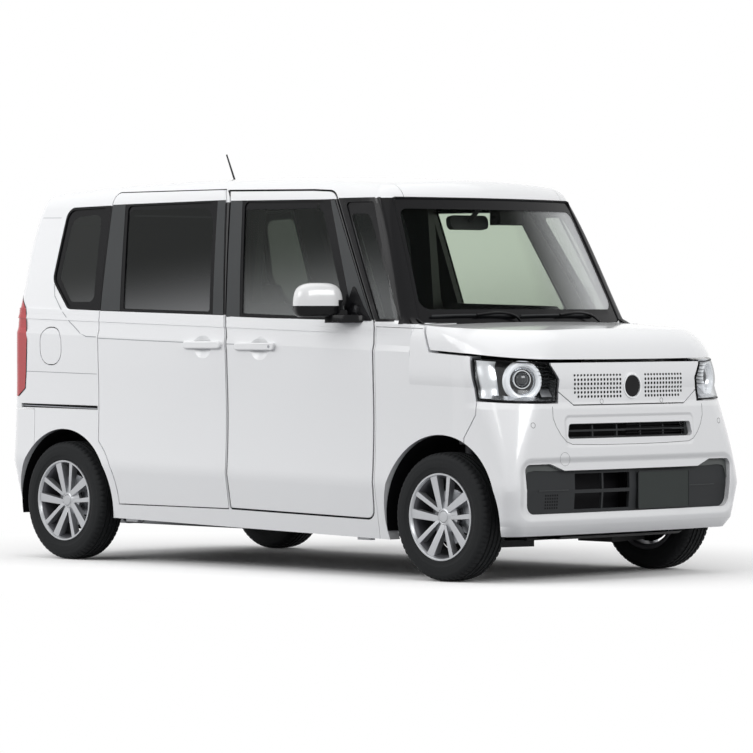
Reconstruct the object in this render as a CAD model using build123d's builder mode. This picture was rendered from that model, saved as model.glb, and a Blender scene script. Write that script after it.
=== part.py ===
from build123d import *
import math
import os

os.makedirs("parts", exist_ok=True)

# A boxy kei wagon: origin on the ground under the middle of the car,
# +X forward, +Y to the car's left, +Z up, millimetres.

# ---------------------------------------------------------------- driving dimensions
length = 3395.0
half_width = 737.5
height = 1790.0
wheelbase = 2520.0
front_axle_x = 1227.5
wheel_y = 652.5
tyre_radius = 278.5
tyre_width = 155.0
rim_seat_radius = 178.0
rim_flange_radius = 190.0

nose_x = length / 2
tail_x = -length / 2
rear_axle_x = front_axle_x - wheelbase

shut_gap = 9.0            # round everything that opens
panel_gap = 5.0           # between fixed panels
edge_draft = 3.0          # degrees, door edges lean in towards the cabin
wall_inner_y = 625.0      # inside face of doors, sills and quarters
frame_depth = 40.0        # window frames and roof rails
skin_depth = 60.0         # front shell: fenders, bumper, lamps
hood_depth = 28.0
roof_depth = 40.0
glass_sink = 5.0          # glass sits this far under the skin
glass_thickness = 6.0
side_plane_y = 760.0      # outside the body, where side outlines are drawn

firewall_x = 795.0
cabin_rear_x = -1590.0
hood_rear_x = 1108.0
cowl_arc_radius = 2925.0
cowl_arc_middle_x = 1193.0
rear_gate_x = -1540.0

front_arch_x = front_axle_x + 2.5
front_arch_radius = 352.0
rear_arch_x = rear_axle_x + 5.0
rear_arch_radius = 336.0
arch_z = tyre_radius + 1.5
tub_wall = 20.0
front_tub_y = 375.0       # inner face of the front wheel tub
rear_tub_y = 460.0

kingpin_y = 540.0
steer_pin_clearance = 1.0

# Levels of the body, bottom to top. Each row is a slice with rounded corners:
# height at x = 0, how much the slice sinks per mm forward, then how far it stays
# inside half_width, nose_x and tail_x, with the bow and corner radius of each end.
# corner_in is how far the front corners draw in past the sides, from taper_x on.
# (z, rake, side_in, corner_in, nose_in, nose_bow, nose_r, tail_in, tail_bow, tail_r)
SILL_LEVELS = [
    (187, 0.020, 37.5, 0, 78.0, 30, 110, 27.5, 20, 60),
    (280, 0.020, 23.0, 0, 12.0, 30, 75, 17.0, 20, 60),
    (432, 0.020, 0.0, 0, 0.0, 30, 60, 0.0, 20, 60),
]
SIDE_LEVELS = [
    SILL_LEVELS[-1],
    (560, 0.020, 7.5, 0, 5.5, 32, 90, 3.5, 20, 55),
    (720, 0.025, 10.5, 0, 15.5, 35, 165, 7.5, 20, 55),
    (880, 0.031, 7.0, 0, 26.0, 38, 262, 12.5, 20, 55),
]
BELT_LEVELS = [
    SIDE_LEVELS[-1],
    (1019, 0.031, 3.5, 0, 37.5, 40, 280, 17.5, 20, 55),
    (1045, 0.031, 11.5, 0, 42.5, 40, 280, 19.5, 20, 55),
    (1139, 0.030, 15.5, 0, 52.5, 40, 280, 25.5, 20, 55),
]
HOOD_LEVELS = [
    SIDE_LEVELS[-1],
    (985, 0.031, 4.0, 0, 35.0, 40, 280, 17.5, 20, 55),
    (1066, 0.031, 11.0, 0, 60.0, 42, 330, 20.0, 20, 55),
    (1103, 0.031, 19.0, 0, 85.0, 44, 365, 22.0, 20, 55),
    (1131, 0.031, 34.0, 0, 125.0, 46, 398, 24.0, 20, 55),
    (1175, 0.031, 75.0, 0, 300.0, 50, 440, 26.0, 20, 55),
]
GLASS_LEVELS = [
    (1090, 0.030, 10.0, 3, 560.0, 120, 60, 22.0, 20, 50),
    (1400, 0.015, 69.5, 8, 710.0, 110, 60, 45.5, 20, 50),
    (1665, 0.000, 127.5, 12, 846.0, 100, 75, 67.5, 20, 75),
    (1850, 0.000, 172.5, 8, 940.0, 95, 260, 90.0, 20, 240),
]
taper_x = 350.0
nose_start_x = 1050.0     # behind this the belt is square, in front the hood rounds off

# crowned surfaces: highest point x and z, radius along the car, radius across it
roof_crest_x = -450.0
roof_long_radius = 17000.0
roof_cross_radius = 5700.0
roof_edge_radius = 100.0
hood_crest_x = 600.0
hood_crest_z = 1136.0
hood_long_radius = 9500.0
hood_cross_radius = 12000.0


# ---------------------------------------------------------------- envelope
def level(row, inset):
    """one rounded slice of the body, on its own raked plane"""
    z, rake, side_in, corner_in, nose_in, nose_bow, nose_r, tail_in, tail_bow, tail_r = row
    side = half_width - side_in - inset
    corner = side - corner_in
    front = nose_x - nose_in - inset
    back = tail_x + tail_in + inset
    plane = Plane(origin=(0, 0, z), x_dir=(1, 0, -rake), z_dir=(rake, 0, 1))
    with BuildSketch(plane) as slice_:
        with BuildLine():
            bow = ThreePointArc((front - nose_bow, -corner), (front, 0), (front - nose_bow, corner))
            if corner_in:
                Polyline(bow @ 1, (taper_x, side), (back + tail_bow, side))
                Polyline((back + tail_bow, -side), (taper_x, -side), bow @ 0)
            else:
                Line(bow @ 1, (back + tail_bow, side))
                Line((back + tail_bow, -side), bow @ 0)
            ThreePointArc((back + tail_bow, side), (back, 0), (back + tail_bow, -side))
        make_face()
        fillet(slice_.vertices().sort_by(Axis.X)[-2:], nose_r - inset / 2)
        fillet(slice_.vertices().sort_by(Axis.X)[:2], tail_r - inset / 2)
    return slice_.sketch


def stack(rows, ruled, inset=0.0):
    """solid through a table of levels"""
    with BuildPart() as body:
        loft([level(row, inset) for row in rows], ruled=ruled)
    return body.part


def under_crown(crest_x, crest_z, long_radius, cross_radius, x_low, x_high, z_low=500.0):
    """block under a surface that is curved along the car and across it"""
    half = half_width + 150
    edge_z = crest_z - cross_radius + math.sqrt(cross_radius**2 - half**2)
    with BuildPart() as block:
        for turn, span in ((1, x_high - crest_x), (-1, crest_x - x_low)):
            with BuildSketch(Plane(origin=(crest_x, 0, 0), x_dir=(0, 1, 0), z_dir=(1, 0, 0))):
                with BuildLine():
                    ThreePointArc((-half, edge_z), (0, crest_z), (half, edge_z))
                    Polyline((half, edge_z), (half, z_low), (-half, z_low), (-half, edge_z))
                make_face()
            revolve(
                axis=Axis((crest_x, 0, crest_z - long_radius), (0, turn, 0)),
                revolution_arc=math.degrees(span / (long_radius - crest_z + z_low)),
            )
    return block.part


def box(x0, x1, y0, y1, z0, z1):
    """box between two corners"""
    with BuildPart() as block:
        with BuildSketch(Plane.XY.offset(z0)):
            with Locations(((x0 + x1) / 2, (y0 + y1) / 2)):
                Rectangle(x1 - x0, y1 - y0)
        extrude(amount=z1 - z0)
    return block.part


def roof_block(drop=0.0):
    return under_crown(
        roof_crest_x, height - drop, roof_long_radius - drop, roof_cross_radius - drop,
        tail_x - 100, nose_x - 500)


def hood_block(drop=0.0):
    return under_crown(
        hood_crest_x, hood_crest_z - drop, hood_long_radius - drop, hood_cross_radius - drop,
        0, nose_x + 100, z_low=200.0)


def greenhouse(inset=0.0, drop=0.0):
    """windows and roof, with a soft edge all round the roof"""
    with BuildPart() as cab:
        add(stack(GLASS_LEVELS, False, inset))
        add(roof_block(drop), mode=Mode.INTERSECT)
        if not inset:
            roof_face = cab.faces().sort_by(Axis.Z)[-1]
            fillet(roof_face.edges(), roof_edge_radius)
    return cab.part


def nose(inset=0.0, drop=0.0):
    """upper front of the car, under the hood's surface"""
    with BuildPart() as front:
        add(stack(HOOD_LEVELS, False, inset))
        add(hood_block(drop), mode=Mode.INTERSECT)
        add(box(nose_start_x, nose_x + 50, -900, 900, 500, 1300), mode=Mode.INTERSECT)
    return front.part


def lower_body(inset=0.0):
    with BuildPart() as tub:
        add(stack(SILL_LEVELS, True, inset))
        add(stack(SIDE_LEVELS, False, inset))
    return tub.part


def belt(inset=0.0):
    with BuildPart() as band:
        add(stack(BELT_LEVELS, True, inset))
        add(box(tail_x - 50, nose_start_x, -900, 900, 500, 1300), mode=Mode.INTERSECT)
    return band.part



# ---------------------------------------------------------------- outlines, (x, z, corner radius)
FRONT_DOOR = [
    (-133, 268, 15), (-138, 990, 0), (-157, 1140, 0), (-255, 1674, 0), (-281, 1731, 12),
    (300, 1721, 0), (452, 1713, 90), (822, 1117, 0), (828, 1095, 0), (828, 400, 0), (817, 249, 50),
]
SLIDING_DOOR = [
    (-133, 268, 15), (-138, 990, 0), (-157, 1140, 0), (-255, 1674, 0), (-281, 1735, 12),
    (-1066, 1738, 45), (-1078, 1668, 0), (-1035, 1170, 0), (-1035, 267, 0),
]
FRONT_WINDOW = [(-42, 1150, 18), (-141, 1664, 22), (408, 1656, 50), (668, 1127, 14)]
SLIDING_WINDOW = [(-252, 1161, 18), (-340, 1668, 40), (-952, 1662, 22), (-866, 1176, 18)]
REAR_QUARTER_WINDOW = [
    (-1056, 1178, 12), (-1108, 1658, 12), (-1378, 1650, 50), (-1398, 1320, 60), (-1262, 1188, 45),
]
FRONT_QUARTER_WINDOW = [(838, 1127, 14), (520, 1650, 14), (700, 1650, 22), (962, 1127, 14)]
SLIDE_RAIL = [(-1600, 714, 0), (-1600, 734, 0), (-1040, 728, 0), (-1040, 708, 0)]
FENDER = [
    (833, 100, 0), (833, 1098, 0), (1108, 1090, 0), (1108, 1112, 0), (1170, 988, 0), (1415, 972, 0),
    (1455, 783, 0), (1448, 721, 0), (1377, 621, 0), (1377, 100, 0),
]
LAMP = [(1415, 966, 0), (1800, 934, 0), (1800, 765, 0), (1455, 783, 0)]
BUMPER = [
    (1455, 782, 0), (1480, 815, 0), (1800, 815, 0), (1800, 200, 0), (1377, 203, 0), (1377, 621, 0),
    (1448, 721, 0),
]
HOOD = [(1108, 1117, 0), (1170, 988, 0), (1415, 972, 0), (1800, 930, 0), (1800, 1300, 0), (1040, 1300, 0)]
TAIL_LAMP = [
    (-1800, 1330, 0), (-1640, 1262, 0), (-1570, 1181, 30), (-1551, 1034, 0), (-1561, 891, 0),
    (-1568, 805, 20), (-1621, 767, 0), (-1800, 767, 0),
]
REAR_BUMPER = [(-1500, 100, 0), (-1500, 708, 0), (-1800, 708, 0), (-1800, 100, 0)]
# seen from the front, (y, z, corner radius)
WINDSHIELD = [(-636, 1112, 20), (-556, 1662, 30), (556, 1662, 30), (636, 1112, 20)]
TAILGATE = [
    (-608, 470, 40), (-618, 1120, 0), (-535, 1650, 60), (535, 1650, 60), (618, 1120, 0), (608, 470, 40),
]
TAILGATE_WINDOW = [(-560, 1165, 50), (-500, 1590, 50), (500, 1590, 50), (560, 1165, 50)]
LAMP_FRONT = [
    (-900, 1000, 0), (-475, 1000, 0), (-475, 930, 10), (-435, 870, 10), (-450, 740, 0), (-900, 740, 0),
]
# the panel between the lamps, a shut line wider than the panel itself
GRILLE = [
    (-500, 946, 0), (-500, 850, 0), (-437, 814, 0), (-352, 757, 12), (352, 757, 12), (437, 814, 0),
    (500, 850, 0), (500, 946, 0),
]
LOWER_OPENING = [
    (-640, 298, 45), (640, 298, 45), (655, 510, 30), (505, 511, 20), (425, 481, 20), (-425, 481, 20),
    (-505, 511, 20), (-655, 510, 30),
]
UPPER_SLOT = [(-398, 616, 15), (-385, 680, 15), (385, 680, 15), (398, 616, 15)]


def outline(points, grow=0.0):
    """flat closed outline with its corners rounded, grown or shrunk all round"""
    with BuildSketch() as flat:
        with BuildLine():
            Polyline(*[(u, v) for u, v, _ in points], close=True)
        make_face()
        for u, v, radius in points:
            if radius:
                fillet(flat.vertices().sort_by_distance((u, v, 0))[0], radius)
        if grow:
            offset(amount=grow, kind=Kind.INTERSECTION, mode=Mode.REPLACE)
    return flat.sketch


def side_prism(points, grow=0.0, draft=0.0, reach=460.0):
    """right-hand side outline pushed in towards the cabin"""
    inward = Plane(origin=(0, -side_plane_y, 0), x_dir=(-1, 0, 0), z_dir=(0, 1, 0))
    with BuildPart() as prism:
        with BuildSketch(inward):
            add(outline([(-x, z, r) for x, z, r in points], grow))
        extrude(amount=reach, taper=draft)
    return prism.part


def end_prism(points, x0, x1, grow=0.0, draft=0.0):
    """outline seen from the front or the back, pushed from x0 to x1"""
    way = 1 if x1 > x0 else -1
    facing = Plane(origin=(x0, 0, 0), x_dir=(0, way, 0), z_dir=(way, 0, 0))
    with BuildPart() as prism:
        with BuildSketch(facing):
            add(outline([(way * y, z, r) for y, z, r in points], grow))
        extrude(amount=abs(x1 - x0), taper=draft)
    return prism.part


def cross_cylinder(x, z, radius, y0, y1):
    """cylinder across the car"""
    with BuildPart() as bar:
        with BuildSketch(Plane(origin=(x, y0, z), x_dir=(1, 0, 0), z_dir=(0, 1, 0))):
            Circle(radius)
        extrude(amount=y1 - y0)
    return bar.part


def upright_cylinder(x, y, radius, z0, z1):
    with BuildPart() as post:
        with BuildSketch(Plane.XY.offset(z0)):
            with Locations((x, y)):
                Circle(radius)
        extrude(amount=z1 - z0)
    return post.part


def cut(base, *tools):
    """base without the tools"""
    with BuildPart() as result:
        add(base)
        for tool in tools:
            add(tool, mode=Mode.SUBTRACT)
    return result.part


def common(base, *tools):
    """what base shares with every tool"""
    with BuildPart() as result:
        add(base)
        for tool in tools:
            add(tool, mode=Mode.INTERSECT)
    return result.part


def fuse(*pieces):
    with BuildPart() as result:
        for piece in pieces:
            add(piece)
    return result.part


def other_side(piece):
    """the same piece on the car's left"""
    with BuildPart() as twin:
        add(mirror(piece, about=Plane.XZ, mode=Mode.PRIVATE))
    return twin.part


def biggest(piece):
    """the main solid, without slivers"""
    return piece.solids().sort_by(SortBy.VOLUME)[-1]


def save(piece, name):
    """label one node and write its file"""
    with BuildPart() as node:
        add(piece)
    node.part.label = name
    export_step(node.part, f"parts/{name}.step")
    litres = node.part.volume / 1e6
    print(f"{name:24s} solids {len(node.solids())} volume {litres:9.2f} valid {node.part.is_valid}")


# ---------------------------------------------------------------- shells
skin = fuse(lower_body(), belt(), nose(), greenhouse())
inner_greenhouse = greenhouse(frame_depth, roof_depth)
cabin_void = fuse(
    box(cabin_rear_x, firewall_x, -wall_inner_y, wall_inner_y, 0, 1110),
    inner_greenhouse,
)
fender_start_x = 833.0
post_inner_y = 600.0
front_void = common(
    fuse(
        lower_body(skin_depth),
        nose(skin_depth, hood_depth),
        box(fender_start_x, nose_start_x + 10, skin_depth - half_width, half_width - skin_depth, 800, 1100),
    ),
    box(fender_start_x, nose_x, -900, 900, 0, 1200),
)
firewall_void = box(firewall_x - 1, fender_start_x + 1, -post_inner_y, post_inner_y, 0, 1057)
front_arch = cross_cylinder(front_arch_x, arch_z, front_arch_radius, -900, -front_tub_y - tub_wall)
rear_arch = cross_cylinder(rear_arch_x, arch_z, rear_arch_radius, -900, -rear_tub_y - tub_wall)
arches = fuse(front_arch, rear_arch, other_side(front_arch), other_side(rear_arch))
wall = cut(skin, cabin_void, front_void, firewall_void, arches)
glass_layer = cut(
    stack(GLASS_LEVELS, False, glass_sink),
    stack(GLASS_LEVELS, False, glass_sink + glass_thickness),
)
full_width = 2 * side_plane_y

# ---------------------------------------------------------------- doors
sliding_arc_radius = 385.0
wheel_clear = cross_cylinder(rear_axle_x, tyre_radius, sliding_arc_radius, -900, -300)
wheel_clear_out = cross_cylinder(rear_axle_x, tyre_radius, sliding_arc_radius + panel_gap, -900, -300)
door_reach = 225.0
door_step_x, door_step_z = 780.0, 1125.0
front_door_space = cut(
    side_prism(FRONT_DOOR, 0, edge_draft, door_reach),
    box(door_step_x, fender_start_x, 5 - wall_inner_y, 0, 0, door_step_z),
)
sliding_door_space = cut(side_prism(SLIDING_DOOR, 0, edge_draft, door_reach), wheel_clear)
front_window_space = side_prism(FRONT_WINDOW)
sliding_window_space = side_prism(SLIDING_WINDOW)


def handle(x0, x1, scoop_x, z):
    """bowl for the fingers, and the bar that bridges it"""
    bowl_radius = (scoop_radius**2 + scoop_depth**2) / (2 * scoop_depth)
    with BuildPart() as bowl:
        with Locations((scoop_x, scoop_depth - handle_skin_y - bowl_radius, z)):
            Sphere(bowl_radius)
    with BuildPart() as bar:
        add(box(x0, x1, -handle_skin_y - handle_proud, 3 - handle_skin_y, z - handle_half, z + handle_half))
        fillet(bar.edges().filter_by(Axis.Y), handle_half - 1)
        fillet(bar.faces().sort_by(Axis.Y)[0].edges(), 7)
    return bowl.part, bar.part


handle_skin_y, handle_proud, handle_half = 734.0, 14.0, 17.0
scoop_radius, scoop_depth = 65.0, 15.0
front_scoop, front_handle = handle(-72.0, 196.0, 89.0, 1008.0)
sliding_scoop, sliding_handle = handle(-420.0, -165.0, -296.0, 1014.0)
front_door = fuse(biggest(cut(
    common(wall, side_prism(FRONT_DOOR, -shut_gap, edge_draft, door_reach)),
    front_window_space,
    box(door_step_x, fender_start_x, -shut_gap - wall_inner_y, 0, 0, door_step_z + shut_gap),
    front_scoop,
)), front_handle)
sliding_door = fuse(biggest(cut(
    common(wall, side_prism(SLIDING_DOOR, -panel_gap, edge_draft, door_reach)),
    wheel_clear_out,
    front_door_space,
    sliding_window_space,
    sliding_scoop,
)), sliding_handle)
front_door_glass = biggest(common(glass_layer, front_window_space))
sliding_door_glass = biggest(common(glass_layer, sliding_window_space))
save(front_door, "front_door_right")
save(other_side(front_door), "front_door_left")
save(front_door_glass, "front_door_glass_right")
save(other_side(front_door_glass), "front_door_glass_left")
save(fuse(sliding_door, other_side(sliding_door)), "sliding_doors")
save(fuse(sliding_door_glass, other_side(sliding_door_glass)), "sliding_door_glass")

# ---------------------------------------------------------------- tail
lamp_inner_y = 621.0
gate_space = end_prism(TAILGATE, tail_x - 60, rear_gate_x, 0, edge_draft)
gate_window_space = end_prism(TAILGATE_WINDOW, tail_x - 60, rear_gate_x)
tail_lamp_space = common(side_prism(TAIL_LAMP), box(tail_x - 60, -1400, -900, -lamp_inner_y, 0, 1500))
rear_bumper_space = side_prism(REAR_BUMPER, 0, 0, full_width)
tailgate = biggest(cut(
    common(wall, end_prism(TAILGATE, tail_x - 60, rear_gate_x, -shut_gap, edge_draft)),
    gate_window_space,
))
tail_lamp = biggest(cut(
    common(wall, tail_lamp_space),
    end_prism(TAILGATE, tail_x - 60, rear_gate_x, panel_gap, edge_draft),
))
rear_bumper = biggest(cut(
    common(wall, side_prism(REAR_BUMPER, -panel_gap / 2, 0, full_width)),
    end_prism(TAILGATE, tail_x - 60, rear_gate_x, 0),
))
save(tailgate, "tailgate")
save(biggest(common(glass_layer, gate_window_space)), "tailgate_glass")
save(fuse(tail_lamp, other_side(tail_lamp)), "tail_lamps")
save(rear_bumper, "rear_bumper")

# ---------------------------------------------------------------- front
fender_inner_y = 610.0
lamp_space = common(side_prism(LAMP, 0, 0, 400), end_prism(LAMP_FRONT, 1300, nose_x + 60))
lamp_space_out = common(
    side_prism(LAMP, panel_gap, 0, 400),
    end_prism(LAMP_FRONT, 1300, nose_x + 60, panel_gap))
hood = biggest(cut(
    common(wall, side_prism(HOOD, -shut_gap, 0, full_width)),
    upright_cylinder(cowl_arc_middle_x - cowl_arc_radius, 0, cowl_arc_radius + shut_gap, 900, 1300),
))
fender = biggest(cut(
    common(wall, side_prism(FENDER, -panel_gap / 2, 0, side_plane_y - fender_inner_y)),
    lamp_space_out,
))
headlamp = biggest(common(wall, lamp_space))
lower_opening_space = end_prism(LOWER_OPENING, 1500, nose_x + 60)
upper_slot_space = end_prism(UPPER_SLOT, 1500, nose_x + 60)
front_bumper = biggest(cut(
    common(wall, side_prism(BUMPER, -panel_gap / 2, 0, full_width)),
    lower_opening_space,
    upper_slot_space,
    lamp_space_out,
    other_side(lamp_space_out),
    end_prism(GRILLE, 1300, nose_x + 60),
))
grille_panel = biggest(cut(
    common(wall, end_prism(GRILLE, 1400, nose_x + 60, -panel_gap)),
    lamp_space_out,
    other_side(lamp_space_out),
))
save(hood, "hood")
save(fuse(fender, other_side(fender)), "front_fenders")
save(fuse(headlamp, other_side(headlamp)), "headlamps")
save(front_bumper, "front_bumper")
save(grille_panel, "grille_panel")

insert_sink = 22.0
insert_thickness = 14.0
insert_layer = cut(lower_body(insert_sink), lower_body(insert_sink + insert_thickness))
lower_insert = common(insert_layer, lower_opening_space)
slot_insert = common(insert_layer, upper_slot_space)
with BuildPart() as lower_grille:
    add(lower_insert)
    with BuildSketch(Plane.YZ.offset(1500)):
        with Locations((-177, 389)):
            with GridLocations(173, 84, 2, 2):
                Rectangle(163, 69)
    extrude(amount=300, mode=Mode.SUBTRACT)
with BuildPart() as upper_grille:
    add(slot_insert)
    with BuildSketch(Plane.YZ.offset(1500)):
        with Locations((0, 649)):
            with GridLocations(150, 30, 5, 2):
                Rectangle(142, 22)
    extrude(amount=300, mode=Mode.SUBTRACT)
save(fuse(biggest(lower_grille.part), biggest(upper_grille.part)), "bumper_grilles")

plate_width, plate_height, plate_thickness = 330.0, 165.0, 3.0
plate_y, plate_z, plate_x = 200.0, 385.0, nose_x - 12.0
with BuildPart() as number_plate:
    with BuildSketch(Plane.YZ.offset(plate_x - plate_thickness)):
        with Locations((plate_y, plate_z)):
            RectangleRounded(plate_width, plate_height, 8)
    extrude(amount=plate_thickness)
    with BuildSketch(Plane.YZ.offset(plate_x - 30)):
        with Locations((plate_y, plate_z)):
            Rectangle(plate_width * 0.6, plate_height * 0.5)
    extrude(amount=30 - plate_thickness / 2)
    add(lower_grille.part, mode=Mode.SUBTRACT)
    add(box(1500, plate_x - 16, -200, 500, 200, 600), mode=Mode.SUBTRACT)
save(biggest(number_plate.part), "number_plate")

windshield_space = end_prism(WINDSHIELD, 740, 1300)
save(biggest(common(glass_layer, windshield_space)), "windshield")

# ---------------------------------------------------------------- body sides and roof
roof_half = 500.0
seam = 1.5
fuel_lid_x, fuel_lid_z = -1376.5, 1006.0
fuel_lid_w, fuel_lid_h, fuel_lid_corner, fuel_lid_depth = 160.0, 182.0, 72.0, 12.0
fuel_pocket_depth = 60.0
FUEL_LID = [
    (fuel_lid_x + sx * fuel_lid_w / 2, fuel_lid_z + sz * fuel_lid_h / 2, fuel_lid_corner)
    for sx, sz in ((-1, -1), (1, -1), (1, 1), (-1, 1))
]
B_POST = [
    (-618, 190, 0), (-618, 1100, 0), (-556, 1640, 0), (-527, 1690, 0), (-527, 1745, 0),
    (-507, 1745, 0), (-507, 1690, 0), (-515, 1640, 0), (-560, 1100, 0), (-560, 190, 0),
]
b_post = fuse(end_prism(B_POST, -230, -100), box(-230, -100, -640, -600, 190, 250))
front_quarter_space = side_prism(FRONT_QUARTER_WINDOW)
rear_quarter_space = side_prism(REAR_QUARTER_WINDOW)
roof_space = box(tail_x, nose_x, -roof_half, roof_half, 1600, height + 20)
front_zone = side_prism([
    (fender_start_x, 0, 0), (fender_start_x, 1098, 0), (hood_rear_x, 1090, 0), (hood_rear_x, 1117, 0),
    (hood_rear_x - 2, 1300, 0), (nose_x + 60, 1300, 0), (nose_x + 60, 0, 0)], 0, 0, full_width)
side_cuts = [
    front_door_space, sliding_door_space, front_zone, windshield_space, gate_space, tail_lamp_space,
    rear_bumper_space, box(tail_x, nose_x, -roof_half - seam, 900, 0, height + 20),
    front_quarter_space, rear_quarter_space,
]
jack_pad_half, jack_pad_height = 40.0, 40.0
jack_pad_y0, jack_pad_y1 = -672.0, -642.0
jack_pads = fuse(*[
    box(x - jack_pad_half, x + jack_pad_half, jack_pad_y0, jack_pad_y1, low, low + jack_pad_height)
    for x, low in ((700.0, 160.0), (-860.0, 190.0))])
body_side = fuse(biggest(cut(wall, *side_cuts)), b_post, jack_pads)
fuel_pocket = side_prism(FUEL_LID, 0, 0, side_plane_y - half_width + fuel_pocket_depth)
fuel_lid = biggest(common(
    skin, side_prism(FUEL_LID, -panel_gap),
    box(tail_x, 0, -900, -half_width + 3.5 + fuel_lid_depth, 0, 1300),
))
neck_radius, neck_bore, neck_length = 34.0, 24.0, 40.0
neck_root_y = -half_width + fuel_pocket_depth
filler_neck = cut(
    cross_cylinder(fuel_lid_x, fuel_lid_z, neck_radius, neck_root_y - neck_length, neck_root_y + 5),
    cross_cylinder(fuel_lid_x, fuel_lid_z, neck_bore, neck_root_y - neck_length - 1, neck_root_y + 20),
)
slide_rail_space = side_prism(SLIDE_RAIL, 0, 0, side_plane_y - half_width + 22)
body_side_left = cut(other_side(body_side), other_side(slide_rail_space))
body_side_right = fuse(
    cut(body_side, fuel_pocket, slide_rail_space,
        cross_cylinder(fuel_lid_x, fuel_lid_z, neck_bore, neck_root_y - 1, neck_root_y + 20)),
    filler_neck,
)
save(fuse(biggest(body_side_right), biggest(body_side_left)), "body_sides")
save(fuel_lid, "fuel_lid")
roof_panel = biggest(cut(
    common(wall, box(tail_x, nose_x, seam - roof_half, roof_half - seam, 1600, height + 20)),
    windshield_space, gate_space,
))
save(roof_panel, "roof_panel")
quarter_glass = fuse(
    biggest(cut(common(glass_layer, front_quarter_space), end_prism(WINDSHIELD, 740, 1300, 12))),
    biggest(common(glass_layer, rear_quarter_space)),
)
save(fuse(quarter_glass, other_side(quarter_glass)), "quarter_glass")

# ---------------------------------------------------------------- structure under the skin
floor_low, floor_top, rear_floor_low, rear_floor_top = 200.0, 240.0, 430.0, 470.0
floor_step_x = -640.0
floor_half = wall_inner_y
rear_tub_top = 655.0


def floor_half_side():
    """right half of the floor, with its step and wheel tub"""
    tub = box(cabin_rear_x + 3, rear_arch_x + 375, -floor_half, -rear_tub_y, rear_floor_low, rear_tub_top)
    return cut(
        fuse(
            box(floor_step_x, firewall_x, -floor_half, 0, floor_low, floor_top),
            box(floor_step_x - 30, floor_step_x + 5, -floor_half, 0, floor_low, rear_floor_top),
            box(cabin_rear_x + 3, floor_step_x, -floor_half, 0, rear_floor_low, rear_floor_top),
            tub,
        ),
        rear_arch,
        b_post,
    )


floor_right = floor_half_side()
save(fuse(floor_right, other_side(floor_right)), "floor_pan")

tub_front_x = 1560.0
shelf_low, shelf_top = 635.0, 675.0
support_x, support_depth = 1538.0, 25.0
support_half = 400.0
firewall_back_x, firewall_depth = 798.0, 18.0
front_rail_y0, front_rail_y1 = front_tub_y, front_tub_y + tub_wall
structure_right = common(fuse(
    box(firewall_back_x, firewall_back_x + firewall_depth, -post_inner_y + 3, 0, 245, 1036),
    box(firewall_back_x, tub_front_x, -front_rail_y1, -front_rail_y0, 300, shelf_top),
    cut(box(fender_start_x + 45, tub_front_x, -655, -front_rail_y0, shelf_low, shelf_top), front_arch),
    box(support_x, support_x + support_depth, -support_half, 0, 870, 910),
    box(support_x, support_x + support_depth, -front_rail_y1, 0, 250, 290),
    box(support_x, support_x + support_depth, -front_rail_y1, -front_rail_y0, 250, 910),
), fuse(front_void, box(firewall_back_x - 1, fender_start_x + 7, -post_inner_y, post_inner_y, 0, 1057)))
save(fuse(structure_right, other_side(structure_right)), "front_structure")

cowl_low, cowl_top = 1036.0, 1064.0
with BuildPart() as cowl:
    add(box(fender_start_x + 3, hood_rear_x + 130, -600, 600, cowl_low, cowl_top))
    add(upright_cylinder(cowl_arc_middle_x - cowl_arc_radius, 0, cowl_arc_radius - 4, 900, 1300),
        mode=Mode.INTERSECT)
save(cowl.part, "cowl_panel")

with BuildPart() as radiator:
    add(box(1505, 1538, -365, 365, 295, 860))
    fillet(radiator.edges().filter_by(Axis.X), 20)
save(radiator.part, "radiator")

with BuildPart() as engine:
    add(box(930, 1330, -330, 330, 218, 800))
    chamfer(engine.edges().filter_by(Axis.X).group_by(Axis.Z)[-1], 60)
save(engine.part, "engine_block")

# ---------------------------------------------------------------- running gear
axle_z = tyre_radius
ball_joint_z = 150.0
arm_thickness = 24.0
spindle_radius = 26.0
spindle_clearance = 1.0
hub_inner = 12.0          # inner face of the wheel's hub, from the wheel's middle towards the car


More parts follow.
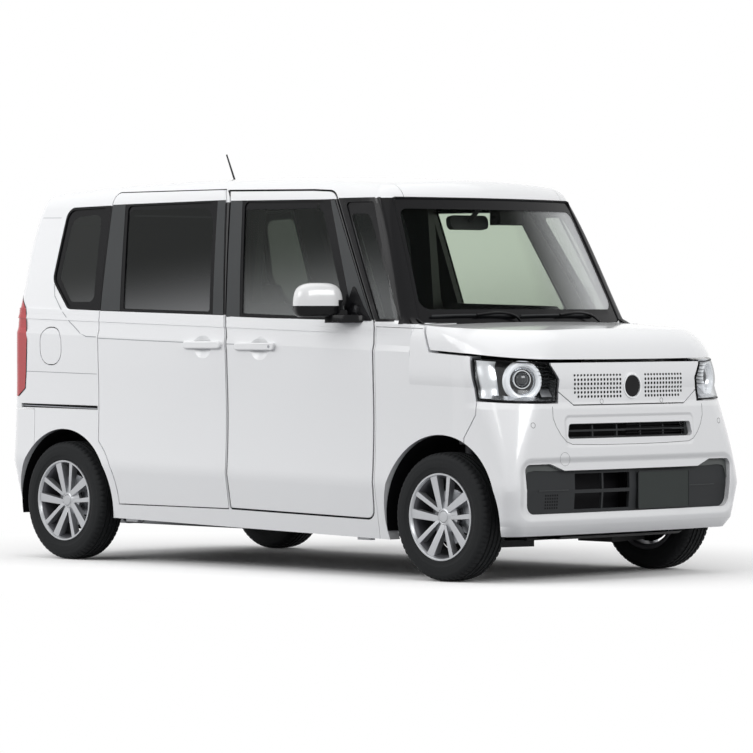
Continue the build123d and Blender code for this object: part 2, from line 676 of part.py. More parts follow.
def wheel_parts():
    """tyre and rim about the Y axis at the origin, outer face towards +Y"""
    half = tyre_width / 2
    with BuildPart() as tyre:
        with BuildSketch(Plane.YZ):
            with BuildLine():
                Polyline((-66, rim_seat_radius), (66, rim_seat_radius), (66, rim_flange_radius))
                ThreePointArc((66, rim_flange_radius), (half, 232), (70, 262))
                ThreePointArc((70, 262), (64, 273), (50, tyre_radius - 2.5))
                ThreePointArc((50, tyre_radius - 2.5), (0, tyre_radius), (-50, tyre_radius - 2.5))
                ThreePointArc((-50, tyre_radius - 2.5), (-64, 273), (-70, 262))
                ThreePointArc((-70, 262), (-half, 232), (-66, rim_flange_radius))
                Line((-66, rim_flange_radius), (-66, rim_seat_radius))
            make_face()
        revolve(axis=Axis.Y)
    with BuildPart() as rim:
        with BuildSketch(Plane.YZ):
            with BuildLine():
                Polyline(
                    (-73, 166), (66, 166), (73, 172), (73, rim_flange_radius), (66, rim_flange_radius),
                    (66, rim_seat_radius), (-66, rim_seat_radius), (-66, rim_flange_radius),
                    (-73, rim_flange_radius), close=True)
            make_face()
        revolve(axis=Axis.Y)
        # hub with its bore closed by the cap
        with BuildSketch(Plane.XZ.offset(hub_inner)):
            Circle(58)
        extrude(amount=-(hub_inner + 52))
        with BuildSketch(Plane.XZ.offset(hub_inner)):
            Circle(spindle_radius + spindle_clearance)
        extrude(amount=-(hub_inner + 40), mode=Mode.SUBTRACT)
        # brake disc on the hub's inner end
        with BuildSketch(Plane.XZ.offset(hub_inner + 12)):
            Circle(118)
            Circle(spindle_radius + spindle_clearance, mode=Mode.SUBTRACT)
        extrude(amount=-12)
        # five pairs of spokes
        for turn in range(5):
            for lean in (-1, 1):
                root = math.radians(90 + 72 * turn + lean * 5)
                tip = math.radians(90 + 72 * turn + lean * 14.5)
                with BuildSketch(Plane.XZ.offset(-30)):
                    with BuildLine():
                        Polyline(*spoke_corners(root, tip), close=True)
                    make_face()
                extrude(amount=-26)
    return tyre.part, rim.part


def spoke_corners(root, tip):
    """four corners of one spoke between the hub and the barrel"""
    root_r, tip_r, root_w, tip_w = 40.0, 170.0, 13.0, 16.0
    places = ((root, root_r, -root_w), (tip, tip_r, -tip_w), (tip, tip_r, tip_w), (root, root_r, root_w))
    corners = []
    for angle, radius, width in places:
        corners.append((
            radius * math.cos(angle) - width * math.sin(angle),
            radius * math.sin(angle) + width * math.cos(angle),
        ))
    return corners


tyre, rim = wheel_parts()
WHEELS = [
    # name, x of the axle, side (+1 is the car's left)
    ("front_right", front_axle_x, -1),
    ("front_left", front_axle_x, 1),
    ("rear_right", rear_axle_x, -1),
    ("rear_left", rear_axle_x, 1),
]
for wheel_name, axle_x, side in WHEELS:
    for piece, kind in ((tyre, "tyre"), (rim, "rim")):
        with BuildPart() as placed:
            with Locations((axle_x, wheel_y, axle_z)):
                add(piece)
        save(placed.part if side > 0 else other_side(placed.part), f"{kind}_{wheel_name}")

strut_radius, spring_radius, strut_top = 20.0, 46.0, 628.0
upright_outer_y = 592.0
with BuildPart() as knuckle:
    add(box(front_axle_x - 42, front_axle_x + 42, -upright_outer_y, -508, 172, 395))
    fillet(knuckle.edges().filter_by(Axis.Y), 18)
    add(cross_cylinder(front_axle_x, axle_z, spindle_radius, -wheel_y - 36, -upright_outer_y + 5))
    add(upright_cylinder(front_axle_x, -kingpin_y, strut_radius, 380, strut_top))
    add(upright_cylinder(front_axle_x, -kingpin_y, spring_radius, 588, strut_top - 4))
save(knuckle.part, "knuckle_right")
save(other_side(knuckle.part), "knuckle_left")

with BuildPart() as subframe_side:
    add(box(front_axle_x - 110, front_axle_x + 110, -300, 0, 165, 218))
    with BuildSketch(Plane.XY.offset(ball_joint_z - arm_thickness / 2)):
        with BuildLine():
            Polyline(
                (front_axle_x - 105, -250), (front_axle_x - 24, -kingpin_y - 10),
                (front_axle_x + 24, -kingpin_y - 10), (front_axle_x + 105, -250), close=True)
        make_face()
    extrude(amount=arm_thickness + 6)
save(fuse(subframe_side.part, other_side(subframe_side.part)), "front_subframe")

beam_x = rear_axle_x + 150
with BuildPart() as rear_beam_side:
    add(box(beam_x - 35, beam_x + 35, -520, 0, 235, 300))
    add(box(rear_axle_x - 40, beam_x + 230, -530, -482, 235, 320))
    add(cross_cylinder(rear_axle_x, axle_z, spindle_radius, -wheel_y - 36, -500))
save(fuse(rear_beam_side.part, other_side(rear_beam_side.part)), "rear_axle_beam")

exhaust_y, exhaust_z, exhaust_radius = 150.0, 166.0, 20.0
with BuildPart() as exhaust:
    with BuildSketch(Plane.YZ.offset(-1585)):
        with Locations((-exhaust_y, exhaust_z)):
            Circle(exhaust_radius)
    extrude(amount=1585 + 900)
    with BuildSketch(Plane.YZ.offset(-1540)):
        with Locations((-exhaust_y, exhaust_z + 60)):
            RectangleRounded(300, 150, 50)
    extrude(amount=170)
save(exhaust.part, "exhaust")

# ---------------------------------------------------------------- cabin
DASH = [
    (firewall_back_x, 700, 0), (firewall_back_x, 1052, 0), (740, 1072, 20), (560, 1050, 60),
    (520, 930, 40), (560, 760, 40), (640, 700, 0),
]
with BuildPart() as dashboard:
    with BuildSketch(Plane.XZ.offset(-597)):
        add(outline(DASH))
    extrude(amount=2 * 597)
    with BuildSketch(Plane.XZ.offset(-45)):
        add(outline([(520, 640, 20), (520, 760, 0), (640, 760, 0), (640, 640, 0)]))
    extrude(amount=90)
save(dashboard.part, "dashboard")

wheel_rim_x, wheel_rim_y, wheel_rim_z = 430.0, 350.0, 935.0
wheel_rim_radius, wheel_rim_tube, column_tilt = 178.0, 14.0, 24.0
wheel_plane = Plane(
    origin=(wheel_rim_x, wheel_rim_y, wheel_rim_z),
    x_dir=(0, 1, 0),
    z_dir=(-math.cos(math.radians(column_tilt)), 0, math.sin(math.radians(column_tilt))))
with BuildPart() as steering_wheel:
    with BuildSketch(Plane(origin=wheel_plane.origin, x_dir=wheel_plane.x_dir, z_dir=wheel_plane.y_dir)):
        with Locations((wheel_rim_radius, 0)):
            Circle(wheel_rim_tube)
    revolve(axis=Axis(wheel_plane.origin, wheel_plane.z_dir))
    with BuildSketch(wheel_plane.offset(-38)):
        Circle(62)
    extrude(amount=32)
    with BuildSketch(wheel_plane.offset(-22)):
        Rectangle(2 * wheel_rim_radius - 10, 34)
        with Locations((0, -wheel_rim_radius / 2)):
            Rectangle(30, wheel_rim_radius - 6)
    extrude(amount=12)
    with BuildSketch(wheel_plane.offset(-36)):
        Circle(30)
    extrude(amount=-150)
    add(dashboard.part, mode=Mode.SUBTRACT)
save(biggest(steering_wheel.part), "steering_wheel")


def seat(x_front, width, back_lean, base_z, cushion_z, back_top_z, head_top_z, head_width):
    """side profile of cushion and back, with a head restraint on it"""
    back_x = x_front - 500
    lean = math.tan(math.radians(back_lean))
    rise = back_top_z - cushion_z
    profile = [
        (x_front, base_z, 20), (x_front + 20, cushion_z, 60), (back_x + 110, cushion_z - 30, 60),
        (back_x + 90 - rise * lean, back_top_z, 40), (back_x - 20 - rise * lean, back_top_z, 40),
        (back_x - 40, cushion_z - 60, 40), (back_x + 40, base_z, 20),
    ]
    head_x = back_x + 40 - rise * lean
    head = [
        (head_x + 45, back_top_z - 10, 0), (head_x + 40, head_top_z, 35),
        (head_x - 55, head_top_z, 35), (head_x - 50, back_top_z - 10, 0),
    ]
    with BuildPart() as chair:
        with BuildSketch(Plane.XZ.offset(-width / 2)):
            add(outline(profile))
        extrude(amount=width)
        with BuildSketch(Plane.XZ.offset(-head_width / 2)):
            add(outline(head))
        extrude(amount=head_width)
    return chair.part


seat_y, seat_width = 310.0, 490.0
front_seat = seat(330.0, seat_width, 17.0, floor_top, 560.0, 1150.0, 1335.0, 250.0)
with BuildPart() as front_seats:
    with Locations((0, seat_y, 0), (0, -seat_y, 0)):
        add(front_seat)
save(front_seats.part, "front_seats")

rear_seat_width = 2 * (rear_tub_y - 15)
rear_seat_side = seat(-560.0, rear_seat_width / 2 - 4, 20.0, rear_floor_top, 640.0, 1150.0, 1310.0, 240.0)
with BuildPart() as rear_seats:
    with Locations((0, rear_seat_width / 4, 0), (0, -rear_seat_width / 4, 0)):
        add(rear_seat_side)
save(rear_seats.part, "rear_seats")

# ---------------------------------------------------------------- small outside and inside pieces
mirror_x, mirror_y, mirror_sweep = 579.0, -836.0, -20.0
mirror_depth, mirror_span = 108.0, 215.0
with BuildPart() as door_mirror:
    with BuildSketch(Plane.XY.offset(1138)):
        with Locations(Location((mirror_x, mirror_y), mirror_sweep)):
            RectangleRounded(mirror_depth, mirror_span, 42)
    extrude(amount=152, taper=4)
    fillet(door_mirror.edges().group_by(Axis.Z)[-1], 38)
    add(box(600, 738, -772, -690, 1110, 1150))
    add(front_door, mode=Mode.SUBTRACT)
    add(front_door_glass, mode=Mode.SUBTRACT)
save(biggest(door_mirror.part), "door_mirror_right")
save(other_side(biggest(door_mirror.part)), "door_mirror_left")

antenna_x, antenna_root_z, antenna_lean, antenna_length = -880.0, 1774.0, 25.0, 150.0
with BuildPart() as antenna:
    with BuildSketch(Plane.XY.offset(antenna_root_z)):
        with Locations((antenna_x, 0)):
            Circle(20)
    extrude(amount=16, taper=20)
    lean = math.radians(antenna_lean)
    with BuildSketch(Plane(origin=(antenna_x, 0, antenna_root_z + 6), x_dir=(0, 1, 0),
                           z_dir=(-math.sin(lean), 0, math.cos(lean)))):
        Circle(5)
    extrude(amount=antenna_length, taper=0.5)
    add(roof_panel, mode=Mode.SUBTRACT)
save(biggest(antenna.part), "antenna")

with BuildPart() as interior_mirror:
    with BuildSketch(Plane(origin=(690, 0, 1565), x_dir=(0, 1, 0), z_dir=(-1, 0, -0.15))):
        RectangleRounded(240, 62, 24)
    extrude(amount=28)
    with BuildSketch(Plane(origin=(690, 0, 1570), x_dir=(0, 1, 0), z_dir=(0.75, 0, 0.66))):
        Circle(11)
    extrude(amount=400)
    add(stack(GLASS_LEVELS, False, glass_sink + glass_thickness), mode=Mode.INTERSECT)
    add(roof_panel, mode=Mode.SUBTRACT)
save(biggest(interior_mirror.part), "interior_mirror")

wiper_z = cowl_top
with BuildPart() as wipers:
    for pivot_y, tip_y in ((470, 20), (30, -500)):
        with BuildSketch(Plane.XY.offset(wiper_z)):
            with Locations((1120, pivot_y)):
                Circle(16)
        extrude(amount=24)
        with BuildSketch(Plane.XY.offset(wiper_z + 14)):
            with BuildLine():
                Polyline((1126, pivot_y), (1150, tip_y), (1138, tip_y), (1114, pivot_y), close=True)
            make_face()
        extrude(amount=12)
save(wipers.part, "wipers")
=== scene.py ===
# %% [markdown]
# # A tall, boxy kei wagon
# The solid model of the car comes in first and stays fixed: panels, glass, wheels and cabin
# are already where they belong, in metres, with +X to the front, +Y to the car's left and +Z up.
# This file dresses that model. Nothing that is added may make the car bigger than it is.

# %% Load the solid model
import math
import bmesh
import bpy
import numpy as np
from mathutils import Matrix, Vector
from mathutils.bvhtree import BVHTree


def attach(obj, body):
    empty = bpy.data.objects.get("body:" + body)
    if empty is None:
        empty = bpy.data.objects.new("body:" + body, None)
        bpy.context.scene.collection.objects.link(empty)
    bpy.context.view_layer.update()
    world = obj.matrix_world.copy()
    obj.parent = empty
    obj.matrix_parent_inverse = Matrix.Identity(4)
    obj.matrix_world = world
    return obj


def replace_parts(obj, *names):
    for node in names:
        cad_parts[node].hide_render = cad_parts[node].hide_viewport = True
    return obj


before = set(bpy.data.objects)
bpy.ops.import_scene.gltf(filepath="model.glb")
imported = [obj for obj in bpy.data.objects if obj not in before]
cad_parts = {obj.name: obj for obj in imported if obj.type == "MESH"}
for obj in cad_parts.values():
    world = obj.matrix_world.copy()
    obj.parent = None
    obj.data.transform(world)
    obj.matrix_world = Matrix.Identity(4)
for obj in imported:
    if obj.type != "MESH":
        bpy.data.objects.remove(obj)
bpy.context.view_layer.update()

# %% [markdown]
# ## Camera
# A long lens from far off keeps a boxy car from looking pinched. It stands at belt height,
# off the front right corner, so the roof is seen edge-on. A small shift of the lens centres
# the car without tilting the camera, which would make the uprights lean.

# %% Camera
camera_data = bpy.data.cameras.new("camera")
camera_data.sensor_width = 36.0
camera_data.lens = 205.6
camera_data.shift_x = -0.0244
camera_data.shift_y = -0.0196
camera_data.clip_end = 500.0
camera = bpy.data.objects.new("camera", camera_data)
camera_place = Vector((14.346, -13.7314, 1.1277))
camera_aim = Vector((0.2062, 0.0, 0.93436))
camera_roll = math.radians(-0.118)
camera.matrix_world = (
    Matrix.Translation(camera_place)
    @ (camera_aim - camera_place).to_track_quat("-Z", "Y").to_matrix().to_4x4()
    @ Matrix.Rotation(camera_roll, 4, "Z")
)
bpy.context.scene.collection.objects.link(camera)
bpy.context.scene.camera = camera
print("camera distance", round((camera_aim - camera_place).length, 2), "m")

# %% [markdown]
# ## Shader sums
# A finish is mostly arithmetic on patterns, and arithmetic reads best as plain expressions.
# `Wire` wraps one socket, so `1 - grain * 0.3` adds its own Math nodes. Colours go through
# Mix, because a Math node would turn them grey. `Finish` holds one material and adds any
# other node from its type, its settings and its sockets.

# %% A socket that can be added, multiplied and mixed
class Wire:
    """one socket of a finish, which takes + - * and comparisons"""

    def __init__(self, finish, socket):
        self.finish = finish
        self.socket = socket

    def maths(self, operation, first, second=0.0):
        return self.finish.node("ShaderNodeMath", {"operation": operation}, {0: first, 1: second})

    def __add__(self, other):
        return self.maths("ADD", self, other)

    __radd__ = __add__

    def __sub__(self, other):
        return self.maths("SUBTRACT", self, other)

    def __rsub__(self, other):
        return self.maths("SUBTRACT", other, self)

    def __mul__(self, other):
        return self.maths("MULTIPLY", self, other)

    __rmul__ = __mul__

    def __pow__(self, other):
        return self.maths("POWER", self, other)

    def __gt__(self, other):
        return self.maths("GREATER_THAN", self, other)

    def __lt__(self, other):
        return self.maths("LESS_THAN", self, other)

    def size(self):
        """this value without its sign"""
        return self.maths("ABSOLUTE", self)

    def above_zero(self):
        """this value, or 0 where it is below 0"""
        return self.maths("MAXIMUM", self, 0.0)

    def blend(self, low, high):
        """colour from low to high as this value goes from 0 to 1"""
        return self.finish.node(
            "ShaderNodeMix", {"data_type": "RGBA"}, {0: self, 6: low, 7: high}, output=2)


print("a Wire takes + - * ** < and >")

# %% A finish and its nodes
class Finish:
    """one material, built on a Principled shader"""

    def __init__(self, name, **sockets):
        self.material = bpy.data.materials.new(name)
        self.material.use_nodes = True
        self.tree = self.material.node_tree
        self.shader = self.tree.nodes["Principled BSDF"]
        self.surface = Wire(self, self.shader.outputs[0])
        self.output = self.tree.nodes["Material Output"]
        for socket, value in sockets.items():
            self.set(socket.replace("_", " "), value)

    def set(self, socket, value):
        """give one socket of the shader a value or a link"""
        self._fill(self.shader.inputs[socket], value)

    def _fill(self, socket, value):
        if isinstance(value, Wire):
            self.tree.links.new(value.socket, socket)
        elif isinstance(value, (tuple, list)) and len(value) == 3 and len(socket.default_value) == 4:
            socket.default_value = (*value, 1.0)
        else:
            socket.default_value = value

    def node(self, kind, settings=None, sockets=None, output=0):
        """any other node: its settings first, then the values or links of its sockets"""
        node = self.tree.nodes.new(kind)
        for setting, value in (settings or {}).items():
            setattr(node, setting, value)
        for socket, value in (sockets or {}).items():
            self._fill(node.inputs[socket], value)
        return Wire(self, node.outputs[output])

    def place(self):
        """where the surface is, in the car's own metres"""
        return self.node("ShaderNodeTexCoord", output=3)

    def places(self):
        """the same as three values: along the car, across it and up"""
        spot = self.node("ShaderNodeSeparateXYZ", None, {0: self.place()}).socket.node
        return [Wire(self, spot.outputs[axis]) for axis in range(3)]

    def noise(self, scale, detail=2.0, stretch=None):
        """soft random pattern, 0 to 1"""
        where = self.place()
        if stretch:
            where = self.node("ShaderNodeVectorMath", {"operation": "MULTIPLY"}, {0: where, 1: stretch})
        return self.node("ShaderNodeTexNoise", None, {"Vector": where, "Scale": scale, "Detail": detail})

    def bump(self, height, distance, strength=1.0):
        """raise the surface by a pattern"""
        self.set("Normal", self.node(
            "ShaderNodeBump", None, {"Height": height, "Distance": distance, "Strength": strength}))

    def climb(self, value, start, end):
        """0 to 1 in a straight line as a value goes from start to end"""
        return self.node("ShaderNodeMapRange", None, {"Value": value, "From Min": start, "From Max": end})

    def ramp(self, value, start, end):
        """0 to 1, eased, as a value goes from start to end"""
        return self.node("ShaderNodeMapRange", {"interpolation_type": "SMOOTHSTEP"}, {
            "Value": value, "From Min": start, "From Max": end})

    def mixed(self, share, first, second):
        """the material, which goes from the first shader to the second as share goes from 0 to 1"""
        mix = self.node("ShaderNodeMixShader", None, {0: share, 1: first, 2: second})
        self.tree.links.new(mix.socket, self.output.inputs["Surface"])
        return self.material


print("shader helpers ready")

# %% [markdown]
# ## Paint
# Pearl white is a white base with fine mica under a clear coat. The base carries the colour,
# the coat carries the sharp reflections, and the mica shows only as a faint sparkle and as a
# very slight unevenness of the coat, which is called orange peel.

# %% Relief of the pressed panels
def rim_rise(paint, across, z, box, radius, width, height):
    """height of the skin round a rounded opening (half width, low, high), falling at its edge"""
    half_y, low, high = box
    beside = (across - (half_y - radius)).above_zero()
    beyond = ((z - (low + high) / 2).size() - ((high - low) / 2 - radius)).above_zero()
    apart = (beside * beside + beyond * beyond) ** 0.5 - radius
    return paint.ramp(apart, 0.0, width) * height


def eased_edge(paint, level, edge, reach, depth):
    """height that turns a hard edge at a level into a round one; it is depth high at the edge"""
    below, above = paint.climb(level, edge - reach, edge), paint.climb(level, edge, edge + reach)
    return (below * below + above * above - above * 2.0) * depth


LOWER_OPENING, UPPER_OPENING = (0.655, 0.298, 0.510), (0.398, 0.592, 0.704)
FLANK_FROM = 0.66
SHOULDER = [(1.019, 1.045, 0.00477), (1.045, 1.091, -0.00398), (1.091, 1.115, 0.00128),
            (1.115, 1.139, -0.00208)]


def relief(paint, x, across, z):
    """metres by which the skin rises over the solid panel"""
    openings = (rim_rise(paint, across, z, LOWER_OPENING, 0.045, 0.032, 0.013)
                + rim_rise(paint, across, z, UPPER_OPENING, 0.016, 0.016, 0.006))
    ledge = paint.ramp(z, 0.776, 0.742) * paint.ramp(x, 1.36, 1.50) * 0.009
    foot_level, belt_level = z + x * 0.020, z + x * 0.031
    chin = eased_edge(paint, foot_level, 0.280, 0.034, -0.0050) * paint.ramp(x, 1.20, 1.30)
    flank = eased_edge(paint, foot_level, 0.432, 0.030, -0.0017) * (across > FLANK_FROM)
    shoulder = sum(paint.climb(belt_level, low, high) * rise for low, high, rise in SHOULDER)
    shoulder = shoulder * (across > FLANK_FROM) * paint.climb(x, 1.04, 0.80)
    return openings * paint.ramp(x, 1.30, 1.40) + ledge + chin + flank + shoulder


print("the shoulder rises and falls in", len(SHOULDER), "steps")

# %% Pearl white body paint
def pearl_paint():
    paint = Finish("pearl_paint", Roughness=0.35, Metallic=0.0, Coat_Roughness=0.09)
    x, y, z = paint.places()
    across = y.size()
    above_belt = z > 1.1467 - x * 0.02536
    band = above_belt * (z < 1.664) * (x > -0.9456 - z * 0.0867) * (across > 0.5)
    mica = paint.noise(900.0, 1.0)
    white = mica.blend((0.80, 0.81, 0.83), (0.88, 0.885, 0.89))
    paint.set("Base Color", band.blend(white, (0.006, 0.006, 0.007)))
    paint.set("Coat Weight", 1.0 - band * 0.9)
    peel = paint.noise(60.0, 2.0) * 0.00005
    paint.bump(relief(paint, x, across, z) + peel, 1.0, 1.0)
    return paint.material


pearl = pearl_paint()
print("made", pearl.name)

# %% [markdown]
# ## Glass
# Car glass is thin, so it tints and mirrors but hardly bends light. A clear shader that is
# tinted, mixed with a mirror by the angle of view, gives that without noise. The front panes
# are faintly green. The panes from the sliding doors back are privacy glass, nearly black.

# %% Clear and privacy glass
BEHIND_DOORS = -0.5


def glass(name, tint, density, floor_reflection=0.0, right_shade=0.0, rear_film=0.0, left_sheen=0.0):
    """thin glass: density is how much of the dark body covers what lies behind

    The painted reflection of the floor makes the pane paler towards its foot. The painted shade
    darkens the panes on the right, and the rear film darkens those behind the doors. The painted
    sheen makes a pane paler towards the car's left.
    """
    pane = Finish(name, Specular_IOR_Level=0.3)
    pane.set("Roughness", pane.noise(3.0, 2.0) * 0.02 + 0.01)
    clear = pane.node("ShaderNodeBsdfTransparent", None, {"Color": tint})
    facing = pane.node("ShaderNodeLayerWeight", None, {"Blend": 0.5}, output=1)
    mirror = facing ** 5.0 * 0.96 + 0.04
    x, y, z = pane.places()
    # painted reflection of the floor at the pane's foot and painted sheen towards the car's left, as a paler
    # base colour
    pale = pane.ramp(z - x * 0.10, 1.55, 1.05) ** 1.6 * floor_reflection + pane.climb(y, 0.05, 0.60) * left_sheen
    pane.set("Base Color", pale.blend((0.01, 0.012, 0.011), (0.75, 0.76, 0.78)))
    # painted shade on the right-side panes; the rear film and the density are the glass's own tint
    dark = (y < 0.0) * right_shade + (x < BEHIND_DOORS) * rear_film + density
    return pane.mixed(mirror * (1.0 - dark) + dark + pale * 0.4, clear, pane.surface)


# the windshield carries a painted sheen; the door and quarter panes a painted floor reflection and painted
# shade on the right
clear_glass = glass("clear_glass", (0.94, 0.96, 0.93), 0.02, left_sheen=1.25)
door_glass = glass("door_glass", (0.82, 0.87, 0.81), 0.05, 0.38, 0.30)
quarter_glass = glass("quarter_glass", (0.86, 0.89, 0.86), 0.05, 0.30, 0.22, 0.50)
privacy_glass = glass("privacy_glass", (0.16, 0.17, 0.17), 0.50, 0.42)
lamp_glass = glass("lamp_glass", (0.95, 0.96, 0.97), 0.02)
print("made five kinds of glass")

# %% [markdown]
# ## Plastics and metals
# Grained plastic is dark grey with a fine leather-like grain that catches light at its edges.
# Gloss black covers frames and pillars. Satin strips dress the door posts. Alloy is a silver
# paint with a little metal in it, and castings are rough.

# %% Plastics
def shaded(colour, share):
    return tuple(channel * share for channel in colour)


def plastic(name, colour, roughness, grain_scale=700.0, grain_depth=0.0002, coat=0.0, gloss=0.5):
    part = Finish(name, Roughness=roughness, Coat_Weight=coat, Coat_Roughness=0.05, Specular_IOR_Level=gloss)
    part.set("Base Color", part.noise(9.0, 3.0).blend(shaded(colour, 0.88), colour))
    grain = part.noise(grain_scale, 2.0)
    part.set("Roughness", grain * 0.12 + (roughness - 0.06))
    part.bump(grain, grain_depth, 0.5)
    return part.material


trim_plastic = plastic("trim_plastic", (0.030, 0.032, 0.034), 0.55, gloss=0.2)
satin_strip = plastic("satin_strip", (0.048, 0.051, 0.053), 0.38, 900.0, 0.00005, gloss=0.2)
gloss_black = plastic("gloss_black", (0.006, 0.006, 0.007), 0.20, 30.0, 0.00002, coat=0.08, gloss=0.12)
seal_rubber = plastic("seal_rubber", (0.006, 0.006, 0.007), 0.6, gloss=0.1)
cabin_plastic = plastic("cabin_plastic", (0.045, 0.046, 0.049), 0.6, gloss=0.3)
blank_plate = plastic("blank_plate", (0.034, 0.040, 0.038), 0.5, 300.0, gloss=0.2)
tyre_rubber = plastic("tyre_rubber", (0.014, 0.015, 0.016), 0.72, 500.0, 0.0003, gloss=0.2)
underbody_paint = plastic("underbody_paint", (0.012, 0.012, 0.013), 0.7, 200.0, 0.0004)
white_plastic = plastic("white_plastic", (0.84, 0.845, 0.85), 0.25, 60.0, 0.0001, coat=1.0)
print("made plastics and rubber")

# %% Metals
def metal(name, colour, roughness, metallic=1.0, grain_scale=300.0, grain_depth=0.0001, coat=0.0):
    part = Finish(name, Metallic=metallic, Coat_Weight=coat)
    grain = part.noise(grain_scale, 3.0)
    part.set("Base Color", grain.blend(shaded(colour, 0.85), colour))
    part.set("Roughness", grain * 0.15 + (roughness - 0.07))
    part.bump(grain, grain_depth, 0.3)
    return part.material


alloy_silver = metal("alloy_silver", (0.50, 0.51, 0.53), 0.32, 0.75, 700.0, 0.00003, coat=0.5)
# dark finish of the barrel and boss, which also paints the shade behind the spokes
dark_alloy_and_shade = metal("dark_alloy_and_shade", (0.10, 0.10, 0.11), 0.45, 0.6)
chrome = metal("chrome", (0.86, 0.87, 0.88), 0.08, 1.0, 80.0, 0.00001)
bare_steel = metal("bare_steel", (0.36, 0.37, 0.39), 0.42)
cast_iron = metal("cast_iron", (0.16, 0.16, 0.17), 0.65, 0.7, 250.0, 0.0006)
print("made metals")

# %% Lamp finishes
def lens(name, colour, glow):
    part = Finish(name, Base_Color=colour, Roughness=0.12, Coat_Weight=1.0, Coat_Roughness=0.03)
    ribs = part.node("ShaderNodeTexWave", {"bands_direction": "Z"}, {"Vector": part.place(), "Scale": 40.0})
    part.bump(ribs, 0.0008, 0.4)
    part.set("Emission Color", ribs.blend(shaded(colour, 0.6), colour))
    part.set("Emission Strength", glow)
    return part.material


red_lens = lens("red_lens", (0.42, 0.006, 0.012), 0.05)
print("made", red_lens.name)

# %% Dress the solid nodes
WHEEL_NAMES = ["front_right", "front_left", "rear_right", "rear_left"]


def pair(name):
    return [f"{name}_right", f"{name}_left"]


NODE_FINISHES = [
    (pearl, [
        "body_sides", "roof_panel", "front_fenders", "front_bumper", "grille_panel", "sliding_doors",
        "rear_bumper", "hood", "tailgate", "fuel_lid", *pair("front_door")]),
    (clear_glass, ["windshield"]),
    (door_glass, pair("front_door_glass")),
    (quarter_glass, ["quarter_glass"]),
    (privacy_glass, ["sliding_door_glass", "tailgate_glass"]),
    (lamp_glass, ["headlamps"]),
    (red_lens, ["tail_lamps"]),
    (trim_plastic, ["bumper_grilles", "cowl_panel", "antenna", "wipers"]),
    (blank_plate, ["number_plate"]),
    (underbody_paint, ["floor_pan", "front_structure", "front_subframe", "rear_axle_beam"]),
    (bare_steel, ["exhaust", "radiator"]),
    (cast_iron, ["engine_block", *pair("knuckle")]),
    (cabin_plastic, ["dashboard", "steering_wheel", "interior_mirror", "front_seats", "rear_seats"]),
    (white_plastic, pair("door_mirror")),
    (tyre_rubber, [f"tyre_{wheel}" for wheel in WHEEL_NAMES]),
    (alloy_silver, [f"rim_{wheel}" for wheel in WHEEL_NAMES]),
]
for finish, nodes in NODE_FINISHES:
    for node in nodes:
        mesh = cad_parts[node].data
        mesh.materials.clear()
        mesh.materials.append(finish)
print("finished", sum(len(nodes) for _, nodes in NODE_FINISHES), "solid nodes")
# %% [markdown]
# ## Laying trim on curved panels
# Strips, seals and printed borders follow panels that curve two ways. Each one is drawn flat,
# as an outline seen from a side, the front or the back, and is then dropped onto the panel
# along that line of sight, with enough points to follow the curve. Most get a small
# thickness, so their edges catch light as those of real strips do.

# %% Flat outlines with rounded corners
def rounded(corners, count=6):
    """outline points from corners (u, v, radius)"""
    points = []
    for index, (u, v, radius) in enumerate(corners):
        here = Vector((u, v))
        to_last = (Vector(corners[index - 1][:2]) - here).normalized()
        to_next = (Vector(corners[(index + 1) % len(corners)][:2]) - here).normalized()
        if radius <= 0.0:
            points.append(here)
            continue
        half_turn = to_last.angle(to_next) / 2
        reach = radius / math.tan(half_turn)
        middle = here + (to_last + to_next).normalized() * (radius / math.sin(half_turn))
        start, end = here + to_last * reach - middle, here + to_next * reach - middle
        for step in range(count + 1):
            way = start.lerp(end, step / count).normalized()
            points.append(middle + way * radius)
    return points


def outset(edge, grow):
    """outline moved outwards by grow metres; inwards where grow is negative"""
    if not grow:
        return edge
    turning = sum(edge[index - 1].cross(edge[index]) for index in range(len(edge)))
    moved = []
    for index, point in enumerate(edge):
        before, after = edge[index - 1], edge[(index + 1) % len(edge)]
        inward = (after - before).normalized().orthogonal() * (1 if turning > 0 else -1)
        moved.append(point - inward * grow)
    return moved


def mm(rows):
    """rows given in millimetres, as metres"""
    return [tuple(value / 1000 for value in row) for row in rows]


def outline(rows, grow=0.0, count=6):
    """rounded outline from corners in millimetres, moved outwards by grow metres"""
    return outset(rounded(mm(rows), count), grow)


def steps(low, high, count):
    """evenly spaced numbers from low to high"""
    return [low + (high - low) * index / (count - 1) for index in range(count)]


print("a rounded square has", len(rounded([(0, 0, 0.1), (1, 0, 0.1), (1, 1, 0.1), (0, 1, 0.1)])), "points")


# %% Pieces
def add_piece(name, mesh_or_curve, finish, body="body", slot="trim_dark"):
    """put a new piece into the scene, on its body"""
    piece = bpy.data.objects.new(name, mesh_or_curve)
    bpy.context.scene.collection.objects.link(piece)
    mesh_or_curve.materials.append(finish)
    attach(piece, body)
    return piece


def grid_faces(rows, columns, ring=False, tube=False):
    """faces between rows of points; a ring closes the rows, a tube closes the columns"""
    faces = []
    for row in range(rows if ring else rows - 1):
        here, there = row * columns, (row + 1) % rows * columns
        for column in range(columns if tube else columns - 1):
            beside = (column + 1) % columns
            faces.append((here + column, here + beside, there + beside, there + column))
    return faces


def block_faces(count):
    """faces of a block: two ends of so many corners and the sides between them"""
    ends = [tuple(range(count)), tuple(range(2 * count - 1, count - 1, -1))]
    return ends + grid_faces(2, count, tube=True)


